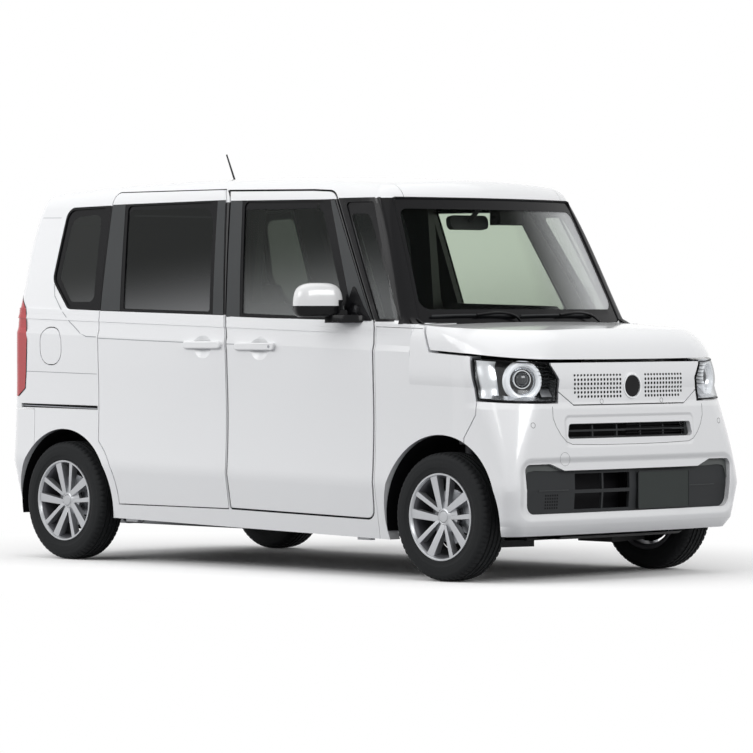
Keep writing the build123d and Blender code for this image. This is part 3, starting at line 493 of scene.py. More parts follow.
def piece_from(name, points, faces, finish, body="body", slot="trim_dark", sharp=40.0):
    """a mesh piece, smooth but for edges sharper than an angle in degrees"""
    mesh = bpy.data.meshes.new(name)
    mesh.from_pydata([tuple(point) for point in points], [], faces)
    tidy = bmesh.new()
    tidy.from_mesh(mesh)
    bmesh.ops.remove_doubles(tidy, verts=tidy.verts, dist=1e-6)
    bmesh.ops.recalc_face_normals(tidy, faces=tidy.faces)
    tidy.to_mesh(mesh)
    tidy.free()
    mesh.shade_smooth()
    mesh.set_sharp_from_angle(angle=math.radians(sharp))
    return add_piece(name, mesh, finish, body, slot)


def skin_of(*nodes):
    """a search tree over the surfaces of some solid nodes"""
    points, faces = [], []
    for node in nodes:
        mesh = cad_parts[node].data
        first = len(points)
        points += [vertex.co.copy() for vertex in mesh.vertices]
        faces += [[first + index for index in face.vertices] for face in mesh.polygons]
    return BVHTree.FromPolygons(points, faces)


print("a block of four corners has", len(block_faces(4)), "faces")

# %% Lines of sight
VIEWS = {
    "right": lambda u, v: Vector((u, -1.5, v)),
    "left": lambda u, v: Vector((u, 1.5, v)),
    "front": lambda u, v: Vector((2.5, u, v)),
    "back": lambda u, v: Vector((-2.5, u, v)),
}
SIGHT = {
    "right": Vector((0, 1, 0)), "left": Vector((0, -1, 0)), "front": Vector((-1, 0, 0)),
    "back": Vector((1, 0, 0)),
}
print("views", ", ".join(VIEWS))


# %% A flat sheet inside an outline
def flat_mesh(edge, holes, spacing):
    """triangles inside an outline, cut by a grid so that they can bend"""
    sheet = bmesh.new()
    for loop in [edge, *holes]:
        corners = [sheet.verts.new((point[0], point[1], 0.0)) for point in loop]
        for index, corner in enumerate(corners):
            sheet.edges.new((corners[index - 1], corner))
    bmesh.ops.triangle_fill(sheet, use_beauty=True, use_dissolve=False, edges=sheet.edges[:])
    for axis in (0, 1):
        low = min(vertex.co[axis] for vertex in sheet.verts)
        high = max(vertex.co[axis] for vertex in sheet.verts)
        normal = Vector((1 - axis, axis, 0))
        for step in range(1, int((high - low) / spacing) + 1):
            bmesh.ops.bisect_plane(
                sheet, geom=sheet.verts[:] + sheet.edges[:] + sheet.faces[:],
                plane_co=normal * (low + step * spacing), plane_no=normal)
    return sheet


print("sheets can be cut into a grid")


# %% Depths on a smooth surface through a panel
def smooth_depths(samples, wanted, skin, view):
    """depth along the line of sight at the wanted places, from a smooth surface through the panel

    Rays that fall into a gap or through a window land far away. They are dropped step by step,
    and what is left gives a clean curved surface without the facets of the mesh.
    """
    sight = SIGHT[view]
    places, depths = [], []
    for place in samples:
        start = VIEWS[view](place[0], place[1])
        hit = skin.ray_cast(start, sight)[0]
        if hit is not None:
            places.append(place)
            depths.append((hit - start).dot(sight))
    places, depths, wanted = np.array(places), np.array(depths), np.array(wanted)
    middle, spread = places.mean(0), np.ptp(places, axis=0).max() / 2 + 1e-6
    powers = [(i, j) for i in range(4) for j in range(5) if i + j <= 4]

    def terms(where):
        u, v = ((where - middle) / spread).T
        return np.stack([u**i * v**j for i, j in powers], axis=1)

    nearest = np.quantile(depths, 0.3)
    kept = np.abs(depths - nearest) < 0.25
    for limit in (0.06, 0.02, 0.006, 0.003):
        shape = np.linalg.lstsq(terms(places[kept]), depths[kept], rcond=1e-9)[0]
        misses = np.abs(terms(places) @ shape - depths)
        if (misses < limit).sum() > 2 * len(powers):
            kept = misses < limit
    shape = np.linalg.lstsq(terms(places[kept]), depths[kept], rcond=1e-9)[0]
    return terms(wanted) @ shape


print("a panel's depth follows a smooth surface")


# %% Dropping an outline onto a panel
def drape(name, view, edge, skin, finish, body="body", slot="trim_dark", lift=0.001, thick=0.002,
          holes=(), spacing=0.03):
    """lay an outline on a panel; it stands lift proud of it and is thick deep"""
    sheet = flat_mesh(edge, holes, spacing)
    sight = SIGHT[view]
    corners = [tuple(vertex.co[:2]) for vertex in sheet.verts]
    middles = [tuple(face.calc_center_median()[:2]) for face in sheet.faces]
    for vertex, depth in zip(sheet.verts, smooth_depths(corners + middles, corners, skin, view)):
        start = VIEWS[view](vertex.co[0], vertex.co[1])
        vertex.co = start + sight * (depth - lift)
    bmesh.ops.recalc_face_normals(sheet, faces=sheet.faces)
    if sum((face.normal.dot(sight) for face in sheet.faces)) > 0:
        bmesh.ops.reverse_faces(sheet, faces=sheet.faces)
    if thick:
        grown = bmesh.ops.extrude_face_region(sheet, geom=sheet.faces[:], use_keep_orig=True)
        bmesh.ops.translate(
            sheet, verts=[item for item in grown["geom"] if isinstance(item, bmesh.types.BMVert)],
            vec=sight * thick)
        bmesh.ops.recalc_face_normals(sheet, faces=sheet.faces)
    mesh = bpy.data.meshes.new(name)
    sheet.to_mesh(mesh)
    sheet.free()
    mesh.shade_smooth()
    mesh.set_sharp_from_angle(angle=math.radians(35))
    return add_piece(name, mesh, finish, body, slot)


print("outlines can be laid on panels")


# %% Rods and turned pieces
def rod(name, points, radius, finish, body="body", slot="trim_dark", closed=False, soft=True):
    """round bar along a line of points"""
    curve = bpy.data.curves.new(name, "CURVE")
    curve.dimensions = "3D"
    curve.bevel_depth = radius
    curve.bevel_resolution = 3
    curve.resolution_u = 6
    curve.use_fill_caps = True
    line = curve.splines.new("NURBS" if soft else "POLY")
    line.points.add(len(points) - 1)
    for point, place in zip(line.points, points):
        point.co = (*place, 1.0)
    line.use_cyclic_u = closed
    if soft:
        line.order_u = 3
        line.use_endpoint_u = not closed
    return add_piece(name, curve, finish, body, slot)


def turned(name, profile, centre, axis, finish, body="body", slot="trim_dark", turns=64):
    """profile of (distance along the axis, radius) in millimetres, turned about an axis"""
    axis = Vector(axis).normalized()
    across = axis.orthogonal().normalized()
    other = axis.cross(across)
    points = []
    for turn in range(turns):
        angle = 2 * math.pi * turn / turns
        out = across * math.cos(angle) + other * math.sin(angle)
        points += [Vector(centre) + axis * along + out * radius for along, radius in mm(profile)]
    return piece_from(name, points, grid_faces(turns, len(profile), ring=True), finish, body, slot)


SIDES = (("right", -1), ("left", 1))
print("shaping helpers ready; each side has a word and the sign of its y")


# %% [markdown]
# ## Window surrounds
# The doors' upper frames are painted steel, dressed in black so that the windows read as one
# band: a black border round every pane, and satin film on the posts between them. One black
# ring per window covers the frame up to the pane. The panes also have a printed black border
# of their own, with large rounded inner corners, laid on each pane as a thin ring.

# %% Side windows seen from the right: pane, black band, clear part, panel and glass
WINDOWS = {
    "front": (
        [(-42, 1150, 18), (-141, 1664, 22), (408, 1656, 50), (668, 1127, 14)],
        [(-145, 1141, 0), (-234, 1671, 0), (455, 1663, 20), (801, 1122, 4)],
        [(-78, 1158, 20), (-168, 1628, 40), (380, 1624, 70), (632, 1136, 16)],
        "front_door", "front_door_glass"),
    "sliding": (
        [(-252, 1161, 18), (-340, 1668, 40), (-952, 1662, 22), (-866, 1176, 18)],
        [(-167, 1149, 0), (-272, 1675, 0), (-1062, 1669, 0), (-1025, 1171, 0)],
        [(-272, 1166, 10), (-350, 1640, 90), (-938, 1642, 30), (-878, 1182, 12)],
        "sliding_doors", "sliding_door_glass"),
    "rear": (
        [(-1056, 1178, 12), (-1108, 1658, 12), (-1378, 1650, 50), (-1398, 1320, 60), (-1262, 1188, 45)],
        [(-1036, 1172, 0), (-1074, 1666, 0), (-1385, 1661, 56), (-1408, 1318, 66), (-1266, 1180, 50)],
        [(-1092, 1214, 30), (-1136, 1622, 40), (-1338, 1618, 60), (-1362, 1330, 50), (-1254, 1214, 40)],
        "body_sides", "quarter_glass"),
    "quarter": (
        [(838, 1127, 14), (520, 1650, 14), (700, 1650, 22), (962, 1127, 14)],
        [(823, 1119, 0), (476, 1668, 0), (728, 1667, 0), (976, 1119, 0)],
        [(842, 1131, 6), (566, 1596, 10), (680, 1594, 50), (958, 1131, 4)],
        "body_sides", "quarter_glass"),
}
STRIPS = {
    "front_door_post": [(-145, 1141, 0), (-234, 1670, 0), (-155, 1669, 0), (-57, 1144, 0)],
    "front_door_pillar": [(686, 1124, 0), (428, 1658, 0), (453, 1660, 0), (799, 1123, 0)],
    "sliding_door_front": [(-168, 1150, 0), (-273, 1674, 0), (-325, 1673, 0), (-239, 1152, 0)],
    "sliding_door_rear": [(-888, 1172, 0), (-970, 1668, 0), (-1061, 1668, 0), (-1024, 1172, 0)],
}
print("windows", ", ".join(WINDOWS), "and", len(STRIPS), "strips on each side")

# %% Black rings, printed borders and satin strips
for side, _ in SIDES:
    for window, (pane, band, clear, panel, glass_node) in WINDOWS.items():
        on_door = window == "front"
        body, ending = (f"door_{side}", f"_{side}") if on_door else ("body", "")
        drape(f"{window}_window_frame_{side}", side, outline(band), skin_of(panel + ending), gloss_black,
              body, holes=[outline(pane, -0.002)], thick=0.0075)
        drape(f"{window}_pane_border_{side}", side, outline(pane), skin_of(glass_node + ending),
              gloss_black, body, lift=0.0004, thick=0.0, holes=[outline(clear)])
    for name, strip in STRIPS.items():
        on_door = name.startswith("front")
        drape(f"{name}_strip_{side}", side, outline(strip),
              skin_of(f"front_door_{side}" if on_door else "sliding_doors"), satin_strip,
              f"door_{side}" if on_door else "body", lift=0.0022)
print("eight window surrounds with borders, eight satin strips")

# %% Border of the windshield, widest along its foot
WINDSHIELD_EDGE = [(-636, 1112, 20), (-556, 1662, 30), (556, 1662, 30), (636, 1112, 20)]
WINDSHIELD_CLEAR = [(-612, 1172, 40), (-542, 1616, 40), (542, 1616, 40), (612, 1172, 40)]
shield_skin = skin_of("windshield")
drape("windshield_border", "front", outline(WINDSHIELD_EDGE), shield_skin, gloss_black,
      lift=0.003, thick=0.0035, holes=[outline(WINDSHIELD_CLEAR)])
print("windshield border")

# %% [markdown]
# ## Front pillars
# Each front pillar bends round the corner between the side and the windshield, so no single
# line of sight sees all of it. Its black cover is laid from many directions instead: level by
# level, rays come in towards a point inside the cabin and stop on the pillar.

# %% Black covers of the front pillars
def first_hit(skin, start, way, step):
    """where a ray lands, with the start moved on step by step until it does"""
    for count in range(12):
        hit = skin.ray_cast(start + step * count, way)[0]
        if hit is not None:
            return hit
    return None


def pillar_cover(side, sign, levels=27, columns=15, lift=0.0016):
    shell = skin_of("body_sides", "roof_panel")
    points = []
    for share in steps(0.0, 1.0, levels):
        z = 1.108 + 0.556 * share
        side_x = 0.972 - 0.260 * share
        front_y = sign * (0.6385 - 0.0805 * share)
        flank = first_hit(
            shell, Vector((side_x, sign * 1.5, z)), Vector((0, -sign, 0)), Vector((0.002, 0, 0)))
        brow = first_hit(
            shell, Vector((2.5, front_y, z)), Vector((-1, 0, 0)), Vector((0, sign * 0.001, 0)))
        heart = Vector((side_x - 0.05, sign * 0.35, z))
        for across in steps(0.0, 1.0, columns):
            aim = flank.lerp(brow, across)
            way = (aim - heart).normalized()
            hit = shell.ray_cast(heart + way, -way)[0]
            near = hit if hit is not None and (hit - aim).length < 0.03 else aim
            points.append(near + way * lift)
    piece_from(f"front_pillar_cover_{side}", points, grid_faces(levels, columns), gloss_black)


for side, sign in SIDES:
    pillar_cover(side, sign)
print("two pillar covers")

# %% [markdown]
# ## Wheels
# A tyre is moulded with grooves that run round it and blocks at its shoulders. Each tyre is
# one profile turned about the axle in 256 steps, and every fourth step cuts the shoulders.
# The rim has five wide and five narrow spokes. They meet in pairs near the hub, and a bright
# lip runs round them. The barrel behind has a dark finish that also paints the shade behind the spokes, with
# the brake inside it.

# %% Axle frames
FRONT_AXLE, REAR_AXLE, AXLE_Z, WHEEL_Y = 1.2275, -1.2925, 0.2785, 0.6525
WHEELS = [(name, FRONT_AXLE if "front" in name else REAR_AXLE, -1 if "right" in name else 1)
          for name in WHEEL_NAMES]


def on_wheel(axle_x, sign, right, up, out):
    """a place on a wheel as someone beside the car sees it; out runs along the axle"""
    return Vector((axle_x - sign * right, sign * (WHEEL_Y + out), AXLE_Z + up))


def revolved(name, axle_x, sign, profile, finish, body, slot="alloy", turns=96, cut=None, sharp=30.0):
    """profile of (out, radius) in millimetres round the axle, cut(turn, index) deep"""
    points = []
    for turn in range(turns):
        angle = 2 * math.pi * turn / turns
        for index, (out, radius) in enumerate(profile):
            reach = (radius - (cut(turn, index) if cut else 0.0)) / 1000
            right, up = reach * math.sin(angle), reach * math.cos(angle)
            points.append(on_wheel(axle_x, sign, right, up, out / 1000))
    return piece_from(name, points, grid_faces(turns, len(profile), ring=True), finish, body, slot, sharp)


print("wheelbase", round(FRONT_AXLE - REAR_AXLE, 3), "m")

# %% Tyres
SIDEWALL = [
    (66, 188), (69, 190.5), (70.5, 194), (71.6, 196), (71.4, 198.5), (73.8, 206), (75.6, 214), (76.6, 216),
    (76.4, 218), (77.3, 226), (77.5, 232), (76.8, 241), (75.6, 247), (76, 249), (74, 256), (71, 262)]
SHOULDER_BLOCKS = [(68, 266.5, 3), (64, 271, 5), (58, 274.4, 5), (51, 276, 5), (44, 276.6, 5)]


def tyre_profile():
    """(out, radius, depth of the cut across the tread) from the outer bead to the inner one"""
    outer = [(out, radius, 0.0) for out, radius in SIDEWALL] + SHOULDER_BLOCKS
    rows = list(outer)

    def crown(out):
        return 278.5 - 2.4 * (out / 50.0) ** 2

    for middle in (36.0, 12.5, -12.5, -36.0):
        for step, depth in ((4.2, 0.0), (2.8, 6.5), (-2.8, 6.5), (-4.2, 0.0)):
            rows.append((middle + step, crown(middle + step) - depth, 0.0))
        if middle > -36.0:
            rib = middle - 11.5
            rows += [(out, crown(out), 2.5) for out in (rib + 4.0, rib - 4.0)]
    return rows + [(-out, radius, depth) for out, radius, depth in outer[::-1]]


TYRE_ROWS = tyre_profile()


def tread_cut(turn, index):
    """every fourth step is a cut; the ribs are cut halfway between the shoulders' cuts"""
    out, _, depth = TYRE_ROWS[index]
    wanted = 0 if abs(out) > 40.0 else 2
    return depth if turn % 4 == wanted else 0.0


for name, axle_x, sign in WHEELS:
    tyre = revolved(f"tyre_{name}_moulded", axle_x, sign, [row[:2] for row in TYRE_ROWS], tyre_rubber,
                    f"wheel_{name}", "tyre", turns=256, cut=tread_cut, sharp=38.0)
    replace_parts(tyre, f"tyre_{name}")
print("four tyres of", len(TYRE_ROWS) * 256, "points")

# %% [markdown]
# The spokes are castings with sloped flanks: broad and flat on top, with a slim bevel that
# catches the light. Wide and narrow spokes lean together, so their roots overlap on the hub.

# %% Blocks and spokes
RIM_EDGE = 0.1815


def bevelled(name, corners, low, finish, body, slot, place, bevel=0.0022):
    """block over flat corners (right, up, top), down to low, its sides spreading outwards"""
    middle = sum((Vector(corner[:2]) for corner in corners), Vector((0, 0))) / len(corners)
    points = [place(right, up, top) for right, up, top in corners]
    for right, up, _ in corners:
        spread = (Vector((right, up)) - middle).normalized() * 0.003
        points.append(place(right + spread.x, up + spread.y, low))
    count = len(corners)
    mesh = bpy.data.meshes.new(name)
    mesh.from_pydata([tuple(point) for point in points], [], block_faces(count))
    block = bmesh.new()
    block.from_mesh(mesh)
    bmesh.ops.recalc_face_normals(block, faces=block.faces)
    top_edges = [edge for edge in block.edges if all(vertex.index < count for vertex in edge.verts)]
    bmesh.ops.bevel(block, geom=top_edges, offset=bevel, segments=2, affect="EDGES", profile=0.6)
    block.to_mesh(mesh)
    block.free()
    mesh.shade_smooth()
    mesh.set_sharp_from_angle(angle=math.radians(50))
    return add_piece(name, mesh, finish, body, slot)


def spoke(angle, inner, outer, inner_half, outer_half):
    """four corners of a spoke between two points that are turned by angle about the axle"""
    turn = Matrix.Rotation(-angle, 2)
    start, end = turn @ Vector(inner) * RIM_EDGE, turn @ Vector(outer) * RIM_EDGE
    across = (end - start).normalized().orthogonal()
    root, tip = 0.050, 0.0675
    rows = [(start, -inner_half, root), (end, -outer_half, tip), (end, outer_half, tip),
            (start, inner_half, root)]
    return [(*(point + across * half), top) for point, half, top in rows]


def joined(name, pieces):
    """one piece out of several that share finish, body and slot"""
    base = pieces[0]
    shape = bmesh.new()
    for piece in pieces:
        shape.from_mesh(piece.data)
    shape.to_mesh(base.data)
    shape.free()
    for piece in pieces[1:]:
        bpy.data.objects.remove(piece, do_unlink=True)
    base.name = name
    base.data.name = name
    return base


print("the spokes end", RIM_EDGE, "m from the axle at most")

# %% Rims and brake discs
LIP = [(50, 174), (65.5, 177.5), (69, 180), (72.5, 181.5), (73.5, 184), (73, 188.5), (70, 190), (66, 190)]
HUB = [(20, 71), (33, 69), (38, 60), (44, 40), (50, 34), (51.5, 30), (50.5, 26.5), (47.5, 25.8)]
CAP = [(45, 25.6), (50, 25.2), (53, 22.8), (54.3, 17), (55, 8), (55.2, 0.1)]
BARREL = [
    (60, 176), (50, 170), (35, 165), (-60, 165), (-70, 172), (-73, 185), (-70, 189.5), (-66, 189.5),
    (-64, 177), (-50, 169), (50, 174), (60, 176)]
BOSS = [(-12, 30), (-12, 66), (12, 66), (30, 62)]
DISC = [(-12, 64), (-13.5, 70), (-13.5, 116), (-12.5, 118), (-2.5, 118), (-1.5, 116), (-1.5, 74),
        (8, 72), (8, 64)]
VALVE_ANGLE = 2.02
for name, axle_x, sign in WHEELS:
    body = f"wheel_{name}"

    def place(right, up, out, axle_x=axle_x, sign=sign):
        return on_wheel(axle_x, sign, right, up, out)

    face = [revolved("lip", axle_x, sign, LIP, alloy_silver, body, turns=128)]
    for turn in range(5):
        angle = math.radians(72 * turn)
        for kind, spoke_shape in (("wide", ((-0.105, 0.16), (-0.247, 0.965), 0.013, 0.0205)),
                                  ("narrow", ((0.085, 0.19), (0.262, 0.962), 0.008, 0.0115))):
            face.append(bevelled(kind, spoke(angle, *spoke_shape), 0.030, alloy_silver, body, "alloy", place))
    face.append(revolved("hub", axle_x, sign, HUB, alloy_silver, body, turns=80))
    face.append(revolved("cap", axle_x, sign, CAP, alloy_silver, body, turns=64))
    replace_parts(joined(f"rim_{name}_cast", face), f"rim_{name}")
    # barrel and boss in the dark finish: painted shade behind the spokes
    joined(f"barrel_{name}", [
        revolved("barrel", axle_x, sign, BARREL, dark_alloy_and_shade, body),
        revolved("boss", axle_x, sign, BOSS, dark_alloy_and_shade, body, turns=48)])
    revolved(f"brake_disc_{name}", axle_x, sign, DISC, bare_steel, body, "steel", turns=80)
    valve = [place(radius * math.sin(VALVE_ANGLE), radius * math.cos(VALVE_ANGLE), out)
             for radius, out in ((0.166, 0.044), (0.150, 0.060))]
    rod(f"valve_{name}", valve, 0.003, seal_rubber, body, "tyre", soft=False)
print("four rims with ten spokes each")

# %% [markdown]
# ## Headlamps
# Each lamp is a clear cover over a black bowl. In the bowl stand a projector, a white ring
# that glows as the daytime light, a bright reflector towards the side and a few dark fins
# towards the middle. Places inside the lamp are given by how far they are along it, how high
# they are in it and how deep they lie under the cover.

# %% Places inside a headlamp
lamp_skin = skin_of("headlamps")
LAMP_ROUND = 0.262


def lamp_place(sign, along, up, depth):
    """along 0..1 from the side of the car to its middle, up 0..1 from the lamp's foot"""
    z = 0.77 + 0.19 * up
    for _ in range(3):
        if z > 0.93:
            inner_y = 0.475
        else:
            inner_y = 0.435 + (0.04 * (z - 0.87) / 0.06 if z > 0.87 else (0.87 - z) * 0.115)
        start = math.atan2(0.020 + (0.966 - z) * 0.21, LAMP_ROUND)
        end = math.pi / 2 + math.atan((0.463 - inner_y) / 0.258)
        turn = start + (end - start) * along
        x = 1.403 + LAMP_ROUND * math.sin(turn)
        low, high = 0.785 - (x - 1.455) * 0.0522, 0.962 - (x - 1.415) * 0.0831
        z = low + (high - low) * up
    way = Vector((math.sin(turn), sign * math.cos(turn), 0.0))
    centre = Vector((1.403, sign * 0.468, z))
    hit = lamp_skin.ray_cast(centre + way * 0.6, -way)[0]
    reach = (hit - centre).length if hit is not None else LAMP_ROUND
    return centre + way * (reach - depth)


def lamp_sheet(name, sign, alongs, ups, depth, finish):
    """sheet inside the lamp; depth(along, up) in metres"""
    points = [lamp_place(sign, along, up, depth(along, up)) for along in alongs for up in ups]
    return piece_from(name, points, grid_faces(len(alongs), len(ups)), finish, slot="lamp_clear", sharp=50.0)


print("middle of the right lamp", [round(value, 3) for value in lamp_place(-1, 0.5, 0.5, 0.0)])


# %% Finishes of the lamps
def glowing(name, colour, strength):
    part = Finish(name, Base_Color=colour, Roughness=0.25, Coat_Weight=0.6)
    part.set("Emission Color", part.noise(40.0, 2.0).blend(shaded(colour, 0.9), colour))
    part.set("Emission Strength", strength)
    return part.material


light_guide = glowing("light_guide", (0.90, 0.92, 0.94), 0.30)
amber_lens = glowing("amber_lens", (0.75, 0.33, 0.06), 0.05)
projector_glass = plastic("projector_glass", (0.03, 0.032, 0.036), 0.07, 20.0, 0.00001, coat=1.0)
satin_chrome = metal("satin_chrome", (0.72, 0.73, 0.75), 0.22, 1.0, 400.0, 0.00004)
lamp_mirror = metal("lamp_mirror", (0.78, 0.79, 0.80), 0.30, 1.0, 60.0, 0.00004)
lamp_black = plastic("lamp_black", (0.012, 0.012, 0.013), 0.22, 60.0, 0.00002, coat=0.4)
print("lamp finishes ready")

# %% Sheets inside the headlamps
BOWL_STEPS = [0.0, 0.012, 0.03] + steps(0.08, 0.92, 22) + [0.97, 0.988, 1.0]
LAMP_SHEETS = {
    "bowl": (BOWL_STEPS, BOWL_STEPS, lamp_black,
             lambda along, up: 0.004 if min(along, up, 1 - along, 1 - up) < 0.02 else 0.052),
    "reflector": (steps(0.015, 0.26, 16), steps(0.04, 0.96, 20), lamp_mirror,
                  lambda along, up: 0.010 + 0.6 * along ** 2 + 0.012 * (1 - (2 * up - 1) ** 6)),
    "foot": (steps(0.16, 0.97, 30), steps(0.03, 0.13, 4), satin_chrome,
             lambda along, up: 0.010 + 0.16 * up),
    "cheek": (steps(0.80, 0.975, 8), steps(0.13, 0.34, 6), alloy_silver,
              lambda along, up: 0.016 + 0.12 * (up - 0.13)),
}
for fin, height in enumerate(steps(0.40, 0.875, 6)):
    LAMP_SHEETS[f"fin_{fin}"] = (
        steps(0.79, 0.985, 8), [height, height + 0.03], satin_strip,
        lambda along, up, height=height: 0.012 + 0.9 * (up - height))
print(len(LAMP_SHEETS), "sheets in each lamp")

# %% Turned parts of the headlamps
LAMP_TURN = math.radians(24.0)
PROJECTOR_RISE = 0.006
LAMP_PARTS = {
    "daytime_ring": (0.0, light_guide, [
        (0, 60), (10, 61.5), (17, 66), (19, 74), (15, 82), (4, 86.5), (-14, 87)]),
    "lamp_cone": (0.0, satin_chrome, [(-30, 40), (-22, 47), (-12, 52), (-10, 53.5), (0, 60)]),
    "projector_bezel": (PROJECTOR_RISE, chrome, [(-36, 42), (-10, 42), (-4, 40), (-4, 36), (-12, 34.5)]),
    "projector": (PROJECTOR_RISE, projector_glass, [
        (-14, 34.5), (-6, 32), (2, 26), (7, 17), (9.5, 8), (10, 0.1)]),
}
for side, sign in SIDES:
    for name, (alongs, ups, finish, depth) in LAMP_SHEETS.items():
        lamp_sheet(f"headlamp_{name}_{side}", sign, alongs, ups, depth, finish)
    for name, (rise, finish, profile) in LAMP_PARTS.items():
        turned(f"{name}_{side}", profile, (1.583, sign * 0.580, 0.865 + rise),
               (math.cos(LAMP_TURN), sign * math.sin(LAMP_TURN), 0.02), finish, slot="lamp_clear")
    near, far = 0.004, 0.996
    rim = [(along, near) for along in steps(near, far, 24)] + [(far, up) for up in steps(0.05, 0.95, 8)]
    rim += [(along, far) for along in steps(far, near, 24)] + [(near, up) for up in steps(0.95, 0.05, 8)]
    rod(f"headlamp_seal_{side}", [lamp_place(sign, along, up, 0.001) for along, up in rim], 0.0026,
        seal_rubber, slot="lamp_clear", closed=True, soft=False)
print("two headlamps filled")

# %% [markdown]
# ## Front panel, bumper and grilles
# The panel between the lamps shows rows of small square holes on both sides of a
# plain round badge place. Each hole is a flat black patch laid on the panel, painted shade for the dark seen
# through it. The bumper carries round sensors, a cover over the towing thread and the shut line of its centre
# part.

# %% Small holes, rings and shut lines
def perforations(name, places, half, skin, slot, lift=0.0004):
    """many small rounded squares on a panel seen from the front, as one piece"""
    points, faces = [], []
    for u, v in places:
        start = VIEWS["front"](u, v)
        hit = skin.ray_cast(start, SIGHT["front"])[0]
        if hit is None:
            continue
        depth = (hit - start).dot(SIGHT["front"]) - lift
        corners = rounded([(u + across * half, v + up * half, half * 0.45)
                           for across, up in ((-1, -1), (1, -1), (1, 1), (-1, 1))], 2)
        faces.append(tuple(range(len(points), len(points) + len(corners))))
        points += [VIEWS["front"](*corner) + SIGHT["front"] * depth for corner in corners]
    return piece_from(name, points, faces, seal_rubber, slot=slot)


def circle(u, v, radius, count=32):
    turns = [2 * math.pi * step / count for step in range(count)]
    return [Vector((u + radius * math.cos(turn), v + radius * math.sin(turn))) for turn in turns]


def ribbon(points, width):
    """outline of a narrow band along a line of (u, v) points"""
    line = [Vector(point) for point in points]
    left, right = [], []
    for index, point in enumerate(line):
        before, after = line[max(index - 1, 0)], line[min(index + 1, len(line) - 1)]
        across = (after - before).normalized().orthogonal() * (width / 2)
        left.append(point + across)
        right.append(point - across)
    return left + right[::-1]


grille_skin = skin_of("grille_panel")
bumper_skin = skin_of("front_bumper")
insert_skin = skin_of("bumper_grilles")
rows = [0.795 + 0.0182 * row for row in range(6)]
left_holes = [(-0.340 + 0.0198 * column, z) for row, z in enumerate(rows) for column in range(15)
              if row or column]
right_holes = [(0.098 + 0.0198 * column, z) for row, z in enumerate(rows) for column in range(13)
               if row or column < 12]
# the holes are black patches on the panels: painted shade for the dark seen through them
perforations("front_panel_holes", left_holes + right_holes, 0.0055, grille_skin, "body_paint")
patch = [(-0.515 + 0.0135 * column, 0.322 + 0.0135 * row) for column in range(6) for row in range(5)]
perforations("insert_holes", patch, 0.0042, insert_skin, "trim_dark")
print("holes", len(left_holes) + len(right_holes) + len(patch))

# %% Badge place, sensors and covers
BADGE = (0.010, 0.838)
drape("badge_place", "front", circle(*BADGE, 0.046, 48), grille_skin, gloss_black, lift=0.004, thick=0.005)
drape("badge_ring", "front", circle(*BADGE, 0.0545, 48), grille_skin, chrome, lift=0.0055, thick=0.006,
      holes=[circle(*BADGE, 0.049, 48)])
for name, y, z, outer, inner, count, skin, spacing in (
        ("panel_sensor_0", -0.182, 0.774, 0.0105, 0.0090, 32, grille_skin, 0.03),
        ("panel_sensor_1", 0.200, 0.774, 0.0105, 0.0090, 32, grille_skin, 0.03),
        ("bumper_sensor_0", -0.592, 0.677, 0.0120, 0.0103, 32, bumper_skin, 0.006),
        ("bumper_sensor_1", 0.592, 0.677, 0.0120, 0.0103, 32, bumper_skin, 0.006),
        ("towing_cover", -0.420, 0.530, 0.0290, 0.0280, 40, bumper_skin, 0.03)):
    drape(name, "front", circle(y, z, outer, count), skin, satin_strip, lift=0.0004, thick=0.0,
          holes=[circle(y, z, inner, count)], spacing=spacing)
SHUT_LINE = mm([(-476, 755), (-476, 706), (-460, 668), (-435, 632), (-405, 604), (-370, 592), (-200, 588),
                (0, 587)])
drape("bumper_shut_line", "front", ribbon(SHUT_LINE + [(-y, z) for y, z in SHUT_LINE[-2::-1]], 0.0018),
      bumper_skin, seal_rubber, lift=0.0004, thick=0.0)
print("front panel dressed")

# %% [markdown]
# Behind both bumper openings lie black ducts, so nobody sees the structure through them. The
# dark insert has raised satin corners, thin steps to both sides and the plate in its middle.

# %% Ducts, insert corners and undertray
def duct(name, y0, y1, z0, z1, front_x, back_x):
    """open box behind a grille"""
    points = [(x, y, z) for x in (front_x, back_x) for y, z in ((y0, z0), (y1, z0), (y1, z1), (y0, z1))]
    return piece_from(name, points, block_faces(4)[1:], seal_rubber)


insert_satin = plastic("insert_satin", (0.085, 0.092, 0.090), 0.34, 500.0, 0.00005, gloss=0.35)
INSERT_CORNER = mm([
    (648, 506), (507, 507), (470, 498), (428, 481), (500, 480), (585, 483.5), (622, 478), (634, 462),
    (643, 425), (651, 425)])
duct("upper_duct", -0.405, 0.405, 0.605, 0.690, 1.636, 1.590)
duct("lower_duct", -0.360, 0.010, 0.300, 0.478, 1.640, 1.590)
for side, sign in SIDES:
    drape(f"insert_corner_{side}", "front", [Vector((sign * y, z)) for y, z in INSERT_CORNER], insert_skin,
          insert_satin, lift=0.004, thick=0.004)
    drape(f"insert_step_{side}", "front", ribbon([(sign * 0.560, 0.3965), (sign * 0.385, 0.3965)], 0.005),
          insert_skin, satin_strip, lift=0.003, thick=0.003)
for row in range(5):
    bow = [Vector((1.6655 - 0.13 * y * y, y, 0.6235 + 0.0115 * row)) for y in steps(-0.02, 0.385, 8)]
    rod(f"slot_mesh_{row}", bow, 0.0016, seal_rubber, soft=False)
TRAY = [(1.40, 0.183), (1.56, 0.183), (1.63, 0.183), (1.655, 0.195)]
points = [Vector((x - 0.10 * (abs(y) / 0.60) ** 3, y, z)) for y in steps(-0.385, 0.385, 13) for x, z in TRAY]
piece_from("front_undertray", points, grid_faces(13, len(TRAY)), underbody_paint, slot="underbody")


def plate_outline(inset, radius):
    """the number plate's outline, drawn in by inset millimetres"""
    left, right, low, high = 34.5 + inset, 365.5 - inset, 302 + inset, 468 - inset
    corners = ((left, low), (right, low), (right, high), (left, high))
    return outline([(*corner, radius) for corner in corners], count=4)


